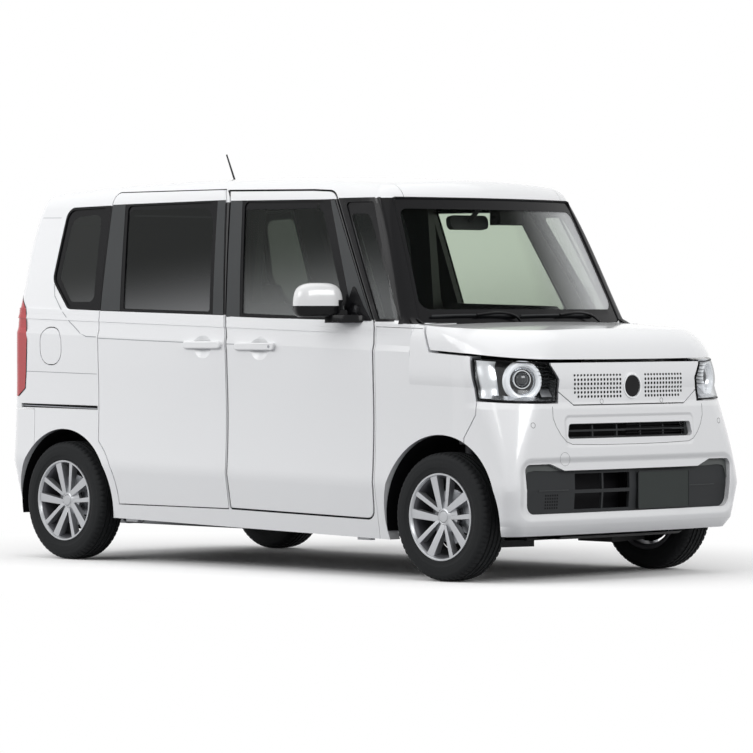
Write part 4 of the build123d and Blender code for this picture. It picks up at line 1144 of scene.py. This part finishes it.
drape("plate_frame", "front", plate_outline(0, 10), skin_of("number_plate"), trim_plastic, lift=0.002,
      thick=0.003, holes=[plate_outline(4, 8)])
print("bumper openings lined")

# %% [markdown]
# ## Wipers
# Two arms rest along the foot of the windshield. Each arm is pressed steel, bent over its
# pivot, and carries a slim blade with a rubber edge that lies on the glass.

# %% Wipers
def on_glass(skin, view, y, z, lift):
    """a place above a pane"""
    hit, normal = skin.ray_cast(VIEWS[view](y, z), SIGHT[view])[:2]
    return hit + normal * lift


def on_shield(y, z, lift):
    return on_glass(shield_skin, "front", y, z, lift)


def blade_line(inner_y, tip_y, z, lift):
    return [on_shield(y, z + 0.004 * math.sin(3.14 * share), lift)
            for share, y in zip(steps(0, 1, 9), steps(inner_y, tip_y, 9))]


for side, pivot_y, inner_y, tip_y in (("right", -0.085, -0.125, -0.575), ("left", 0.430, 0.395, -0.100)):
    middle = (inner_y + tip_y) / 2
    arm = [Vector((1.128, pivot_y, 1.084)), Vector((1.121, pivot_y - 0.02, 1.108)),
           on_shield(pivot_y - 0.05, 1.135, 0.026), on_shield((pivot_y + middle) / 2, 1.146, 0.030),
           on_shield(middle + 0.06, 1.144, 0.026), on_shield(middle, 1.139, 0.020)]
    rod(f"wiper_blade_{side}", blade_line(inner_y, tip_y, 1.137, 0.014), 0.0050, trim_plastic)
    rod(f"wiper_rubber_{side}", blade_line(inner_y, tip_y, 1.133, 0.006), 0.0032, seal_rubber)
    piece = rod(f"wiper_arm_{side}", arm, 0.0058, gloss_black)
    if side == "right":
        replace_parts(piece, "wipers")
    turned(f"wiper_pivot_{side}", [(-12, 16), (10, 16), (15, 13), (16, 0.1)], (1.128, pivot_y, 1.078),
           (0, 0, 1), gloss_black, turns=32)
print("wipers rest on the glass")

# %% [markdown]
# ## Shut lines
# A gap between two painted panels shows dark. A black band lies a few millimetres down in it,
# standing for the rubber seal and the painted shade of the gap. Each band follows the outline of its door and
# sits in the gap.
# The doors' edges lean towards the cabin, so the band moves inwards where the body narrows.

# %% Seals in the gaps round the doors
# black band in a door gap: the seal, with painted shade for the dark of the gap
def gap_seal_and_shade(name, side, rows, skin, gap, closed=True, lean=0.0524, depth=0.006):
    path, line = outline(rows, count=5), []
    for index in range(len(path) if closed else len(path) - 1):
        here, there = path[index], path[(index + 1) % len(path)]
        pieces = max(1, int((there - here).length / 0.05))
        line += [here.lerp(there, piece / pieces) for piece in range(pieces)]
    if not closed:
        line.append(path[-1])
    turning = sum(line[index - 1].cross(line[index]) for index in range(len(line)))
    sight, points, last = SIGHT[side], [], None
    for index, point in enumerate(line):
        before = line[index - 1] if closed or index else line[0]
        after = line[(index + 1) % len(line)] if closed or index < len(line) - 1 else line[-1]
        inward = (after - before).normalized().orthogonal() * (1 if turning > 0 else -1)
        drift = lean * (0.025 + 0.225 * max(0.0, point.y - 1.1))
        middle = point + inward * (gap / 2 + drift)
        for reach in (0.008, 0.016, 0.030, 0.050):
            start = VIEWS[side](*(middle + inward * reach))
            hit = skin.ray_cast(start, sight)[0]
            if hit is not None and (last is None or abs((hit - start).dot(sight) - last) < 0.03):
                last = (hit - start).dot(sight)
                break
        for half in (-1, 1):
            edge = middle + inward * (half * (gap / 2 - 0.0007))
            points.append(VIEWS[side](*edge) + sight * (last + depth))
    return piece_from(name, points, grid_faces(len(line), 2, ring=closed), seal_rubber)


FRONT_DOOR_EDGE = [
    (-133, 268, 15), (-138, 990, 0), (-157, 1140, 0), (-255, 1674, 0), (-281, 1731, 12), (300, 1721, 0),
    (452, 1713, 90), (822, 1117, 0), (828, 1095, 0), (828, 400, 0), (817, 249, 50)]
SLIDING_TOP_EDGE = [
    (-281, 1735, 0), (-1066, 1738, 45), (-1078, 1668, 0), (-1035, 1170, 0), (-1035, 900, 0), (-1035, 575, 0)]
ARCH = 387.5
SLIDING_FOOT_EDGE = [(1000 * REAR_AXLE + ARCH * math.cos(math.radians(angle)),
                      1000 * AXLE_Z + ARCH * math.sin(math.radians(angle)), 0)
                     for angle in (46, 38, 30, 22, 14, 6, 0)]
SLIDING_FOOT_EDGE += [(-905, 267, 0), (-500, 268, 0), (-140, 268, 0)]
slide_skin = skin_of("sliding_doors")
for side, _ in SIDES:
    gap_seal_and_shade(f"front_door_seal_{side}", side, FRONT_DOOR_EDGE, skin_of(f"front_door_{side}"), 0.009)
    gap_seal_and_shade(f"sliding_door_seal_shade_{side}", side, SLIDING_TOP_EDGE, slide_skin, 0.005, False)
    gap_seal_and_shade(f"sliding_foot_seal_shade_{side}", side, SLIDING_FOOT_EDGE, slide_skin, 0.005, False, lean=0.0)
print("six door seals")

# %% [markdown]
# ## Windshield seal and wheel arches
# A black seal runs round the windshield between glass and body. Black plastic liners cover
# the inside of the wheel arches a finger's width behind the painted lip.

# %% Seal round the windshield
def shield_edge(y, z, lift=0.002):
    """a place on the windshield's rim, found from a start that moves inwards until it lands"""
    step = Vector((0.0, -0.0015 if y > 0 else 0.0015, -0.001 if z > 1.3 else 0.001))
    hit = first_hit(shield_skin, VIEWS["front"](y, z), SIGHT["front"], step)
    return Vector((hit.x + lift, y, z)) if hit is not None else None


edge = [shield_edge(-0.6375 + 0.0815 * share, 1.112 + 0.549 * share) for share in steps(0, 1, 16)]
edge += [shield_edge(y, 1.6635) for y in steps(-0.545, 0.545, 16)]
edge += [shield_edge(0.556 + 0.0815 * share, 1.661 - 0.549 * share) for share in steps(0, 1, 16)]
rod("windshield_seal", [place for place in edge if place is not None], 0.0055, seal_rubber, soft=False)
print("windshield sealed")

# %% Wheel arch liners
def liner(name, sign, centre_x, radius, inner_y, outer_y=0.708):
    points = []
    for angle in steps(math.radians(-12), math.radians(192), 41):
        across, up = math.cos(angle) * radius, math.sin(angle) * radius
        for y in (outer_y, (outer_y + inner_y) / 2, inner_y):
            points.append((centre_x + across, sign * y, 0.280 + up))
        points.append((centre_x + across * 0.25, sign * inner_y, 0.280 + up * 0.25))
    return piece_from(name, points, grid_faces(41, 4), seal_rubber, slot="underbody", sharp=60.0)


for side, sign in SIDES:
    liner(f"front_liner_{side}", sign, 1.230, 0.3485, 0.400)
    liner(f"rear_liner_{side}", sign, -1.2875, 0.3325, 0.485)
print("four liners")

# %% [markdown]
# ## Door mirrors
# The housing is one moulding, rounded all over. Its upper part is painted, its lower part and
# its foot are black. A lens for the indicator wraps round the inner end, and the mirror glass
# fills the back. The housing is built level by level from rounded outlines.

# %% Housing surface
MIRROR_LEVELS = mm([
    (1140, 90, 38), (1145, 101, 46), (1155, 108, 50), (1170, 111, 52), (1188.5, 112, 52.5), (1205, 112, 52.5),
    (1225, 110, 51.5), (1245, 106, 49.5), (1262, 98, 46), (1275, 86, 40), (1284, 68, 31), (1289, 44, 20),
    (1289.5, 4, 2)])
MIRROR_CENTRE, MIRROR_SWEEP, SQUARENESS = (0.579, 0.8325), math.radians(20.0), 0.62


def mirror_place(sign, height, turn, grow=0.0):
    """place on the housing; turn is 0 at its inner end and a quarter turn at the front"""
    for low, high in zip(MIRROR_LEVELS, MIRROR_LEVELS[1:]):
        if height <= high[0] + 1e-9:
            share = (height - low[0]) / (high[0] - low[0])
            half_span, half_depth = (a + (b - a) * share for a, b in zip(low[1:], high[1:]))
            break
    cosine, sine = math.cos(turn), math.sin(turn)
    along = (half_span + grow) * math.copysign(abs(cosine) ** SQUARENESS, cosine)
    ahead = (half_depth + grow) * math.copysign(abs(sine) ** SQUARENESS, sine)
    x = MIRROR_CENTRE[0] + along * math.sin(MIRROR_SWEEP) + ahead * math.cos(MIRROR_SWEEP)
    y = MIRROR_CENTRE[1] - along * math.cos(MIRROR_SWEEP) + ahead * math.sin(MIRROR_SWEEP)
    return Vector((x, sign * y, height))


def mirror_patch(name, sign, heights, turns, grow, finish, body, slot="trim_dark", closed=False):
    points = [mirror_place(sign, height, turn, grow) for height in heights for turn in turns]
    count = len(turns)
    faces = grid_faces(len(heights), count, tube=closed)
    if closed:
        faces += [tuple(range(count)), tuple(range(len(points) - count, len(points)))]
    return piece_from(name, points, faces, finish, body, slot, 45.0)


print("a mirror housing has", len(MIRROR_LEVELS), "levels")

# %% Mirrors
RING_TURNS = [2 * math.pi * step / 72 for step in range(72)]
HEIGHTS = [row[0] for row in MIRROR_LEVELS]
mirror_silver = metal("mirror_silver", (0.80, 0.81, 0.82), 0.09, 1.0, 30.0, 0.000002)
FOOT = [(592, 800), (640, 806), (690, 775), (735, 738), (742, 716), (602, 720)]
NECK = [(592, 772), (640, 778), (668, 740), (612, 735)]
SAIL = [(634, 1123, 4), (636, 1205, 20), (655, 1278, 8), (672, 1268, 8), (742, 1182, 10), (798, 1123, 4)]
for side, sign in SIDES:
    door = f"door_{side}"
    cap = mirror_patch(f"mirror_cap_{side}", sign, HEIGHTS[4:], RING_TURNS, 0.0, white_plastic, door,
                       "mirror_cap", True)
    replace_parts(cap, f"door_mirror_{side}")
    mirror_patch(f"mirror_bowl_{side}", sign, HEIGHTS[:5], RING_TURNS, -0.0008, gloss_black, door,
                 closed=True)
    mirror_patch(f"mirror_lamp_{side}", sign, steps(1.150, 1.214, 8), steps(0.10, 0.98, 10), 0.0014,
                 lamp_black, door)
    mirror_patch(f"mirror_lamp_core_{side}", sign, steps(1.160, 1.205, 6), steps(0.42, 0.78, 6), 0.0026,
                 satin_chrome, door, "lamp_clear")
    mirror_patch(f"mirror_glass_{side}", sign, steps(1.158, 1.268, 8), steps(3.60, 5.82, 18), 0.0012,
                 mirror_silver, door, "glass")
    for name, corners, top, low, bevel in (("foot", FOOT, 1.150, 1.114, 0.009),
                                           ("neck", NECK, 1.172, 1.140, 0.006)):
        bevelled(f"mirror_{name}_{side}", [(x, y, top) for x, y in mm(corners)], low, gloss_black, door,
                 "trim_dark", lambda x, y, z: Vector((x, sign * y, z)), bevel)
    drape(f"mirror_sail_{side}", side, outline(SAIL, count=4), skin_of(f"front_door_{side}"), gloss_black,
          door, lift=0.0045, thick=0.008)
print("two mirrors")

# %% [markdown]
# ## Side details
# The sliding door hangs on a rail in the rear quarter, which shows as a black slot: a flat black
# sheet in the groove, for the dark rail and painted shade in the slot. A keyhole sits beside the handle of
# the right front door.

# %% Rail and keyhole
RAIL_SLOT = mm([(-1600, 715.5), (-1600, 732.5), (-1042, 726.5), (-1042, 709.5)])
for side, sign in SIDES:
    # a flat black sheet in the groove: the dark rail with painted shade in the slot
    slot = [(x, sign * 0.7170, z) for x, z in RAIL_SLOT]
    piece_from(f"slide_rail_shade_{side}", slot, [(0, 1, 2, 3)], seal_rubber)
    rail = [Vector((x, sign * 0.7215, 0.724 - 0.0105 * (x + 1.60) / 0.56)) for x in steps(-1.597, -1.045, 8)]
    rod(f"slide_track_{side}", rail, 0.0028, bare_steel, slot="steel", soft=False)
drape("door_keyhole", "right", circle(0.165, 1.008, 0.0075, 24), skin_of("front_door_right"), bare_steel,
      "door_right", "steel", spacing=0.01)
print("side details done")

# %% [markdown]
# ## Seats
# A car seat is moulded foam under cloth that is sewn from panels. Each cushion is a crowned,
# closed pad whose sides pull in between its corners, with raised bolsters at both sides and
# sewn channels where the panels meet. The pad is worked out as one dense surface: a plump
# shape first, then bolsters, then grooves along the seams. It stays as foam looks when
# nobody sits on it, so no cloth simulation is needed.

# %% Seat cloth
def seat_cloth():
    cloth = Finish("seat_cloth", Roughness=0.9, Specular_IOR_Level=0.2)
    weave = cloth.noise(1400.0, 2.0, (1.0, 3.0, 1.0))
    tone = weave * 0.7 + cloth.noise(18.0, 3.0) * 0.3
    cloth.set("Base Color", tone.blend((0.085, 0.085, 0.088), (0.19, 0.19, 0.195)))
    cloth.bump(weave, 0.0006, 0.5)
    return cloth.material


grey_cloth = seat_cloth()
print("made", grey_cloth.name)


# %% A padded cushion
def cushion(name, heart, lean, size, bolster=0.02, seams=(), cells=44):
    """pad of a size (across, along, thick), centred on heart; its face leans back by lean degrees

    A lean of 90 lies flat, face up. Seams are lines ("across" or "along", place from -1 to 1).
    """
    half_across, half_along, half_thick = (length / 2 for length in size)
    angle = math.radians(lean)
    along_way = Vector((-math.sin(angle), 0.0, math.cos(angle)))
    face_way = Vector((math.cos(angle), 0.0, math.sin(angle)))
    places = [math.sin(turn) for turn in steps(-math.pi / 2, math.pi / 2, cells + 1)]
    points = []
    for face, v, u in ((face, v, u) for face in (1, -1) for v in places for u in places):
        plump = ((1 - abs(u) ** 5) * (1 - abs(v) ** 5)) ** 0.40
        pull = 1 - 0.025 * (1 - u * u) * abs(v) ** 4
        tuck = 1 - 0.035 * (1 - v * v) * abs(u) ** 4 - 0.05 * abs(u * v) ** 6
        rise = half_thick * plump * (0.88 + 0.12 * (1 - u * u) * (1 - v * v))
        if face > 0:
            rise += bolster * plump * math.exp(-(((abs(u) - 0.80) / 0.14) ** 2))
            for way, place in seams:
                apart = (v - place) * half_along if way == "across" else (u - place) * half_across
                rise -= 0.009 * plump * math.exp(-((apart / 0.0065) ** 2))
        points.append(Vector(heart) + Vector((0, 1, 0)) * (u * half_across * tuck)
                      + along_way * (v * half_along * pull) + face_way * (face * rise))
    front = grid_faces(cells + 1, cells + 1)
    back = [tuple(index + len(points) // 2 for index in face) for face in front]
    piece = piece_from(name, points, front + back, grey_cloth, slot="seat_cloth", sharp=80.0)
    return piece


print("cushions can be made")

# %% A whole seat
PAD_SEAMS = [("along", -0.62), ("along", 0.62), ("across", -0.45), ("across", 0.10), ("across", 0.62)]
HEAD_SEAMS = [("along", -0.55), ("along", 0.55)]


def seat_set(name, middle_y, width, foot_x, seat_top, seat_long, lean, back_long, head_width, head_size):
    """one seat: cushion, back and head restraint on two posts; returns the cushion"""
    angle = math.radians(lean)

    def on_back(up, forward=0.0, shift=0.0):
        """place up along the leaning back, forward of it and to its side"""
        return Vector((
            foot_x + 0.035 - math.sin(angle) * up + math.cos(angle) * forward, middle_y + shift,
            seat_top - 0.07 + math.cos(angle) * up + math.sin(angle) * forward))

    pad = cushion(f"{name}_cushion", (foot_x + seat_long / 2 + 0.05, middle_y, seat_top - 0.085), 86,
                  (width, seat_long, 0.15), 0.022, PAD_SEAMS)
    cushion(f"{name}_back", on_back(back_long / 2), lean, (width, back_long, 0.115), 0.026, PAD_SEAMS)
    cushion(f"{name}_headrest", on_back(back_long + 0.030 + head_size / 2, 0.012), lean - 6,
            (head_width, head_size, 0.095), 0.0, HEAD_SEAMS, 30)
    for post, shift in enumerate((-0.055, 0.055)):
        rod(f"{name}_post_{post}",
            [on_back(back_long - 0.06, 0.0, shift), on_back(back_long + 0.08, 0.006, shift)],
            0.0055, bare_steel, slot="steel", soft=False)
    return pad


def plinth(name, x0, x1, middle_y, z0, z1, width=0.40):
    """plastic seat base, narrower at its foot"""
    corners = []
    for z, inset in ((z0, 0.05), (z1 - 0.02, 0.0), (z1, 0.012)):
        half = width / 2 - inset
        corners += [(x0 + inset, middle_y - half, z), (x1 - inset, middle_y - half, z),
                    (x1 - inset, middle_y + half, z), (x0 + inset, middle_y + half, z)]
    faces = [(0, 1, 2, 3), (8, 9, 10, 11)] + grid_faces(3, 4, tube=True)
    return piece_from(name, corners, faces, cabin_plastic, slot="cabin_plastic")


print("a pad has", len(PAD_SEAMS), "seams, a head restraint", len(HEAD_SEAMS))

# %% Front and rear seats
for side, sign in SIDES:
    front_y, rear_y = sign * 0.310, sign * 0.2215
    front_pad = seat_set(f"front_seat_{side}", front_y, 0.490, -0.185, 0.575, 0.475, 17, 0.620, 0.250, 0.165)
    rear_pad = seat_set(f"rear_seat_{side}", rear_y, 0.436, -1.075, 0.655, 0.475, 20, 0.530, 0.240, 0.150)
    plinth(f"front_seat_base_{side}", -0.150, 0.300, front_y, 0.262, 0.440)
    plinth(f"rear_seat_base_{side}", -1.030, -0.600, rear_y, 0.480, 0.530)
    if side == "right":
        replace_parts(front_pad, "front_seats")
        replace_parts(rear_pad, "rear_seats")
print("four seats")

# %% [markdown]
# ## Cabin trim
# The ceiling has a pale headliner, and a camera box sits behind the windshield beside the
# rear-view mirror.

# %% Headliner and camera box
headliner_cloth = plastic("headliner_cloth", (0.16, 0.16, 0.155), 0.95, 900.0, 0.0002, gloss=0.1)
ceiling = [(x, y, 1.712 - 0.055 * max(0.0, (x - 0.2) / 0.46) ** 3 - 0.05 * (y / 0.53) ** 4)
           for x in steps(-1.50, 0.66, 22) for y in steps(-0.53, 0.53, 13)]
piece_from("headliner", ceiling, grid_faces(22, 13), headliner_cloth, slot="cabin_plastic", sharp=80.0)
camera_box = [(x, y, z) for x in (0.735, 0.800)
              for y, z in ((0.085, 1.552), (0.240, 1.552), (0.240, 1.618), (0.085, 1.618))]
piece_from("camera_box", camera_box, block_faces(4), gloss_black)
print("cabin trimmed")

# %% [markdown]
# ## Creases, shut lines and lamp seals
# A pressed crease runs along both doors at handle height and curves up behind the rear
# window. Thin shut lines part the rear quarter. Each is a narrow band in the shade that such
# a groove shows. The tail lamps sit in a black seal.

# %% Creases and shut lines on the sides
crease_shade = plastic("crease_shade", (0.36, 0.37, 0.39), 0.5, 400.0, 0.00002, gloss=0.2)
SIDE_LINES = {
    "quarter_crease": ("body_sides", 0.0040, [
        (-1392, 1300), (-1374, 1242), (-1312, 1178), (-1241, 1118), (-1165, 1068), (-1115, 1052),
        (-1042, 1049)]),
    "quarter_seam": ("body_sides", 0.0026, [(-1563, 886), (-1300, 881), (-1042, 876)]),
    "roof_seam": ("body_sides", 0.0022, [(-1560, 1616), (-1490, 1615), (-1425, 1614)]),
    "slide_crease": ("sliding_doors", 0.0034, [(-1030, 1044), (-720, 1034), (-425, 1026)]),
    "door_crease": ("front_door", 0.0034, [(-132, 1019), (-78, 1018)]),
}
LAMP_EDGE = [(-1640, 1262), (-1606, 1224), (-1570, 1181), (-1551.5, 1034), (-1561, 891), (-1570, 805),
             (-1622, 767)]
for side, _ in SIDES:
    for name, (panel, width, line) in SIDE_LINES.items():
        on_door = panel == "front_door"
        skin = skin_of(f"{panel}_{side}" if on_door else panel)
        body = f"door_{side}" if on_door else "body"
        drape(f"{name}_{side}", side, ribbon(mm(line), width), skin, crease_shade, body, "body_paint",
              lift=0.0005, thick=0.0)
    drape(f"tail_lamp_seal_{side}", side, ribbon(mm(LAMP_EDGE), 0.006), skin_of("tail_lamps", "body_sides"),
          seal_rubber, lift=0.0008, thick=0.0)
print("creases and seals laid")

# %% [markdown]
# ## Tailgate
# The gate carries a handle bar over a blank plate, a wiper on a printed glass border and a
# high stop lamp. The tail lamps hold a pale reversing lamp and an amber indicator. The rear
# bumper has a reflector at each end.

# %% Borders, plate, handle and stop lamp of the gate
gate_skin, gate_glass_skin = skin_of("tailgate"), skin_of("tailgate_glass")


def slab(half_y, low, high, radius, middle=0.0):
    """rounded rectangle seen from behind"""
    return rounded([(middle - half_y, low, radius), (middle + half_y, low, radius),
                    (middle + half_y, high, radius), (middle - half_y, high, radius)])


GATE_EDGE = [(-560, 1165, 50), (-500, 1590, 50), (500, 1590, 50), (560, 1165, 50)]
GATE_CLEAR = [(-508, 1210, 50), (-462, 1548, 50), (462, 1548, 50), (508, 1210, 50)]
drape("tailgate_glass_border", "back", outline(GATE_EDGE), gate_glass_skin, gloss_black, "tailgate",
      lift=0.0005, thick=0.0, holes=[outline(GATE_CLEAR)])
drape("rear_plate_frame", "back", slab(0.170, 0.595, 0.770, 0.010), gate_skin, trim_plastic, "tailgate",
      lift=0.0033, thick=0.004, holes=[slab(0.162, 0.603, 0.762, 0.006)])
for name, edge, finish, slot, lift, thick in (
        ("rear_plate", slab(0.165, 0.600, 0.765, 0.008), blank_plate, "plate", 0.003, 0.003),
        ("gate_handle_bar", slab(0.300, 0.792, 0.822, 0.012), white_plastic, "body_paint", 0.006, 0.008),
        ("gate_handle_grip", slab(0.110, 0.782, 0.791, 0.004), seal_rubber, "trim_dark", 0.001, 0.001),
        ("high_stop_lamp", slab(0.150, 1.600, 1.616, 0.006), red_lens, "lamp_red", 0.002, 0.003)):
    drape(name, "back", edge, gate_skin, finish, "tailgate", slot, lift=lift, thick=thick)
print("gate dressed")


# %% Rear wiper, lamps and reflectors
def on_gate(y, z, lift):
    return on_glass(gate_glass_skin, "back", y, z, lift)


turned("rear_wiper_pivot", [(-10, 20), (8, 20), (13, 15), (14, 0.1)], on_gate(0.0, 1.200, 0.0),
       (-1, 0, 0.1), gloss_black, "tailgate", turns=32)
WIPER_LINE = ((0.0, 1.200, 0.012), (-0.15, 1.212, 0.014), (-0.300, 1.222, 0.012))
rod("rear_wiper_arm", [on_gate(*spot) for spot in WIPER_LINE], 0.0055, gloss_black, "tailgate")
rod("rear_wiper_blade", [on_gate(y, 1.222 - 0.02 * (y + 0.28), 0.006) for y in steps(-0.46, -0.13, 8)],
    0.0048, trim_plastic, "tailgate")
tail_skin, rear_skin = skin_of("tail_lamps"), skin_of("rear_bumper")
for side, sign in SIDES:
    for name, low, high, finish in (("reversing_lamp", 0.800, 0.868, light_guide),
                                    ("rear_indicator", 0.884, 0.962, amber_lens)):
        drape(f"{name}_{side}", "back", slab(0.030, low, high, 0.010, sign * 0.668), tail_skin, finish,
              slot="lamp_clear", lift=0.0022, thick=0.006)
    drape(f"rear_reflector_{side}", "back", slab(0.055, 0.395, 0.425, 0.008, sign * 0.560), rear_skin,
          red_lens, slot="lamp_red", lift=0.002, thick=0.003)
print("tail dressed")

# %% [markdown]
# ## Linings and brakes
# The doors are lined with grained panels that rise a little over the belt line, with an arm
# rest on each front door. The front pillars have pale linings. Behind each rim sits a pressed
# brake shield, so the wheel isn't open.

# %% Linings of doors and pillars
def lining(name, sign, near_y, far_y, rows, body):
    """flat panel between two places across the car"""
    edge = outline(rows, count=4)
    points = [(u, sign * y, v) for y in (near_y, far_y) for u, v in edge]
    return piece_from(name, points, block_faces(len(edge)), cabin_plastic, body, "cabin_plastic")


pale_lining = plastic("pale_lining", (0.50, 0.51, 0.50), 0.8, 700.0, 0.0001, gloss=0.2)
TRIM, TOP, REST = (0.619, 0.627), (0.652, 0.664), (0.585, 0.622)
DOOR_PANELS = {
    "door_trim": (TRIM, [(-90, 330, 60), (-98, 1040, 16), (720, 1028, 16), (740, 420, 120)]),
    "door_top": (TOP, [(-98, 1050, 6), (-110, 1206, 20), (600, 1188, 20), (770, 1050, 10)]),
    "arm_rest": (REST, [(-60, 690, 30), (-60, 765, 30), (430, 745, 30), (430, 690, 30)]),
    "slide_trim": (TRIM, [(-850, 620, 120), (-950, 800, 60), (-950, 1060, 16), (-215, 1040, 16),
                          (-190, 340, 60), (-700, 340, 60)]),
    "slide_top": (TOP, [(-975, 1070, 6), (-985, 1212, 20), (-215, 1206, 20), (-205, 1050, 6)]),
}
PILLAR_PANELS = {
    "divider": [(700, 660, 1140), (822, 660, 1140), (510, 560, 1635), (432, 560, 1635)],
    "pillar": [(962, 640, 1140), (990, 600, 1140), (738, 515, 1635), (704, 540, 1635)],
}
for side, sign in SIDES:
    for name, (reach, rows) in DOOR_PANELS.items():
        lining(f"{name}_{side}", sign, *reach, rows, "body" if name.startswith("slide") else f"door_{side}")
    for name, corners in PILLAR_PANELS.items():
        points = [(x, sign * (y - inwards), z) for inwards in (0.0, 0.006) for x, y, z in mm(corners)]
        piece_from(f"{name}_lining_{side}", points, block_faces(4), pale_lining, slot="cabin_plastic")
print("fourteen linings")

# %% Brake shields
for side, sign in SIDES:
    for place, x, carrier, radius in (("front", FRONT_AXLE, f"knuckle_{side}", 152),
                                      ("rear", REAR_AXLE, "body", 140)):
        turned(f"brake_shield_{place}_{side}", [(4, 60), (4, radius - 12), (-4, radius), (-8, radius)],
               (x, sign * 0.612, AXLE_Z), (0, sign, 0), lamp_black, carrier, "underbody")
print("four brake shields")

# %% [markdown]
# ## Studio
# The floor is a plain pale sheet. The camera sees it white, and sees white beyond it, while
# the car is lit by a greyer floor, as in a large studio, so the lower body keeps its shading.
# One wide soft light hangs over the car, and three stand at its right, its front and its rear.

# %% Floor
CAMERA_RAY, GLOSSY_RAY, TRANSMISSION_RAY = 0, 3, 6


def seen_directly(finish):
    """1 where the camera looks straight, in a mirror or through glass"""
    camera_ray, glossy_ray, transmission_ray = (
        finish.node("ShaderNodeLightPath", output=ray) for ray in (CAMERA_RAY, GLOSSY_RAY, TRANSMISSION_RAY))
    return camera_ray.maths("MAXIMUM", camera_ray, glossy_ray.maths("MAXIMUM", glossy_ray, transmission_ray))


def floor_white(finish):
    """1 where the camera should see bare white: straight on, and well away from the car"""
    along, across, _ = finish.places()
    east = along * 0.75
    reach = (east * east + across * across) ** 0.5
    return seen_directly(finish) * finish.ramp(reach, 1.0, 2.6)


floor_finish = Finish("studio_floor", Roughness=0.9, Specular_IOR_Level=0.0)
floor_finish.set("Base Color", seen_directly(floor_finish).blend((0.17, 0.175, 0.19), (0.98, 0.98, 0.98)))
white_out = floor_finish.node("ShaderNodeEmission", None, {"Color": (1.0, 1.0, 1.0), "Strength": 1.0})
floor_finish.mixed(floor_white(floor_finish), floor_finish.surface, white_out)
HALF_FLOOR = 120.0
sheet = bpy.data.meshes.new("studio_floor")
sheet.from_pydata([(x * HALF_FLOOR, y * HALF_FLOOR, 0.0) for x, y in ((-1, -1), (1, -1), (1, 1), (-1, 1))],
                  [], [(0, 1, 2, 3)])
sheet.materials.append(floor_finish.material)
floor = bpy.data.objects.new("studio_floor", sheet)
bpy.context.scene.collection.objects.link(floor)
print("floor laid")

# %% Lights
def soft_light(name, place, aim, size, power, mirrored=True):
    data = bpy.data.lights.new(name, "AREA")
    data.shape = "RECTANGLE"
    data.size, data.size_y = size
    data.energy = power
    light = bpy.data.objects.new(name, data)
    light.matrix_world = (
        Matrix.Translation(place)
        @ (Vector(aim) - Vector(place)).to_track_quat("-Z", "Y").to_matrix().to_4x4())
    light.visible_glossy = mirrored
    bpy.context.scene.collection.objects.link(light)


soft_light("ceiling_light", (0.5, 0.0, 6.5), (0.0, 0.0, 0.0), (9.0, 6.0), 84.0)
soft_light("right_light", (-1.0, -7.0, 4.8), (0.0, 0.0, 1.0), (8.0, 3.0), 236.0)
soft_light("front_light", (8.0, -0.5, 4.2), (1.0, 0.0, 0.9), (5.0, 2.5), 235.0)
soft_light("rear_light", (-7.5, -4.5, 3.4), (-1.2, 0.0, 0.9), (4.0, 3.0), 230.0, mirrored=False)
print("four soft lights")

# %% White surroundings
world = bpy.data.worlds.new("studio")
bpy.context.scene.world = world
world.use_nodes = True
sky = world.node_tree
path = sky.nodes.new("ShaderNodeLightPath")
level = sky.nodes.new("ShaderNodeMix")
level.inputs[2].default_value = 0.5
level.inputs[3].default_value = 1.0
seen = path.outputs["Is Camera Ray"]
for ray in ("Is Glossy Ray", "Is Transmission Ray"):
    either = sky.nodes.new("ShaderNodeMath")
    either.operation = "MAXIMUM"
    sky.links.new(seen, either.inputs[0])
    sky.links.new(path.outputs[ray], either.inputs[1])
    seen = either.outputs[0]
sky.links.new(seen, level.inputs[0])
sky.links.new(level.outputs[0], sky.nodes["Background"].inputs["Strength"])
sky.nodes["Background"].inputs["Color"].default_value = (1.0, 1.0, 1.0, 1.0)
bpy.context.scene.view_settings.view_transform = "Standard"
print("surroundings set")
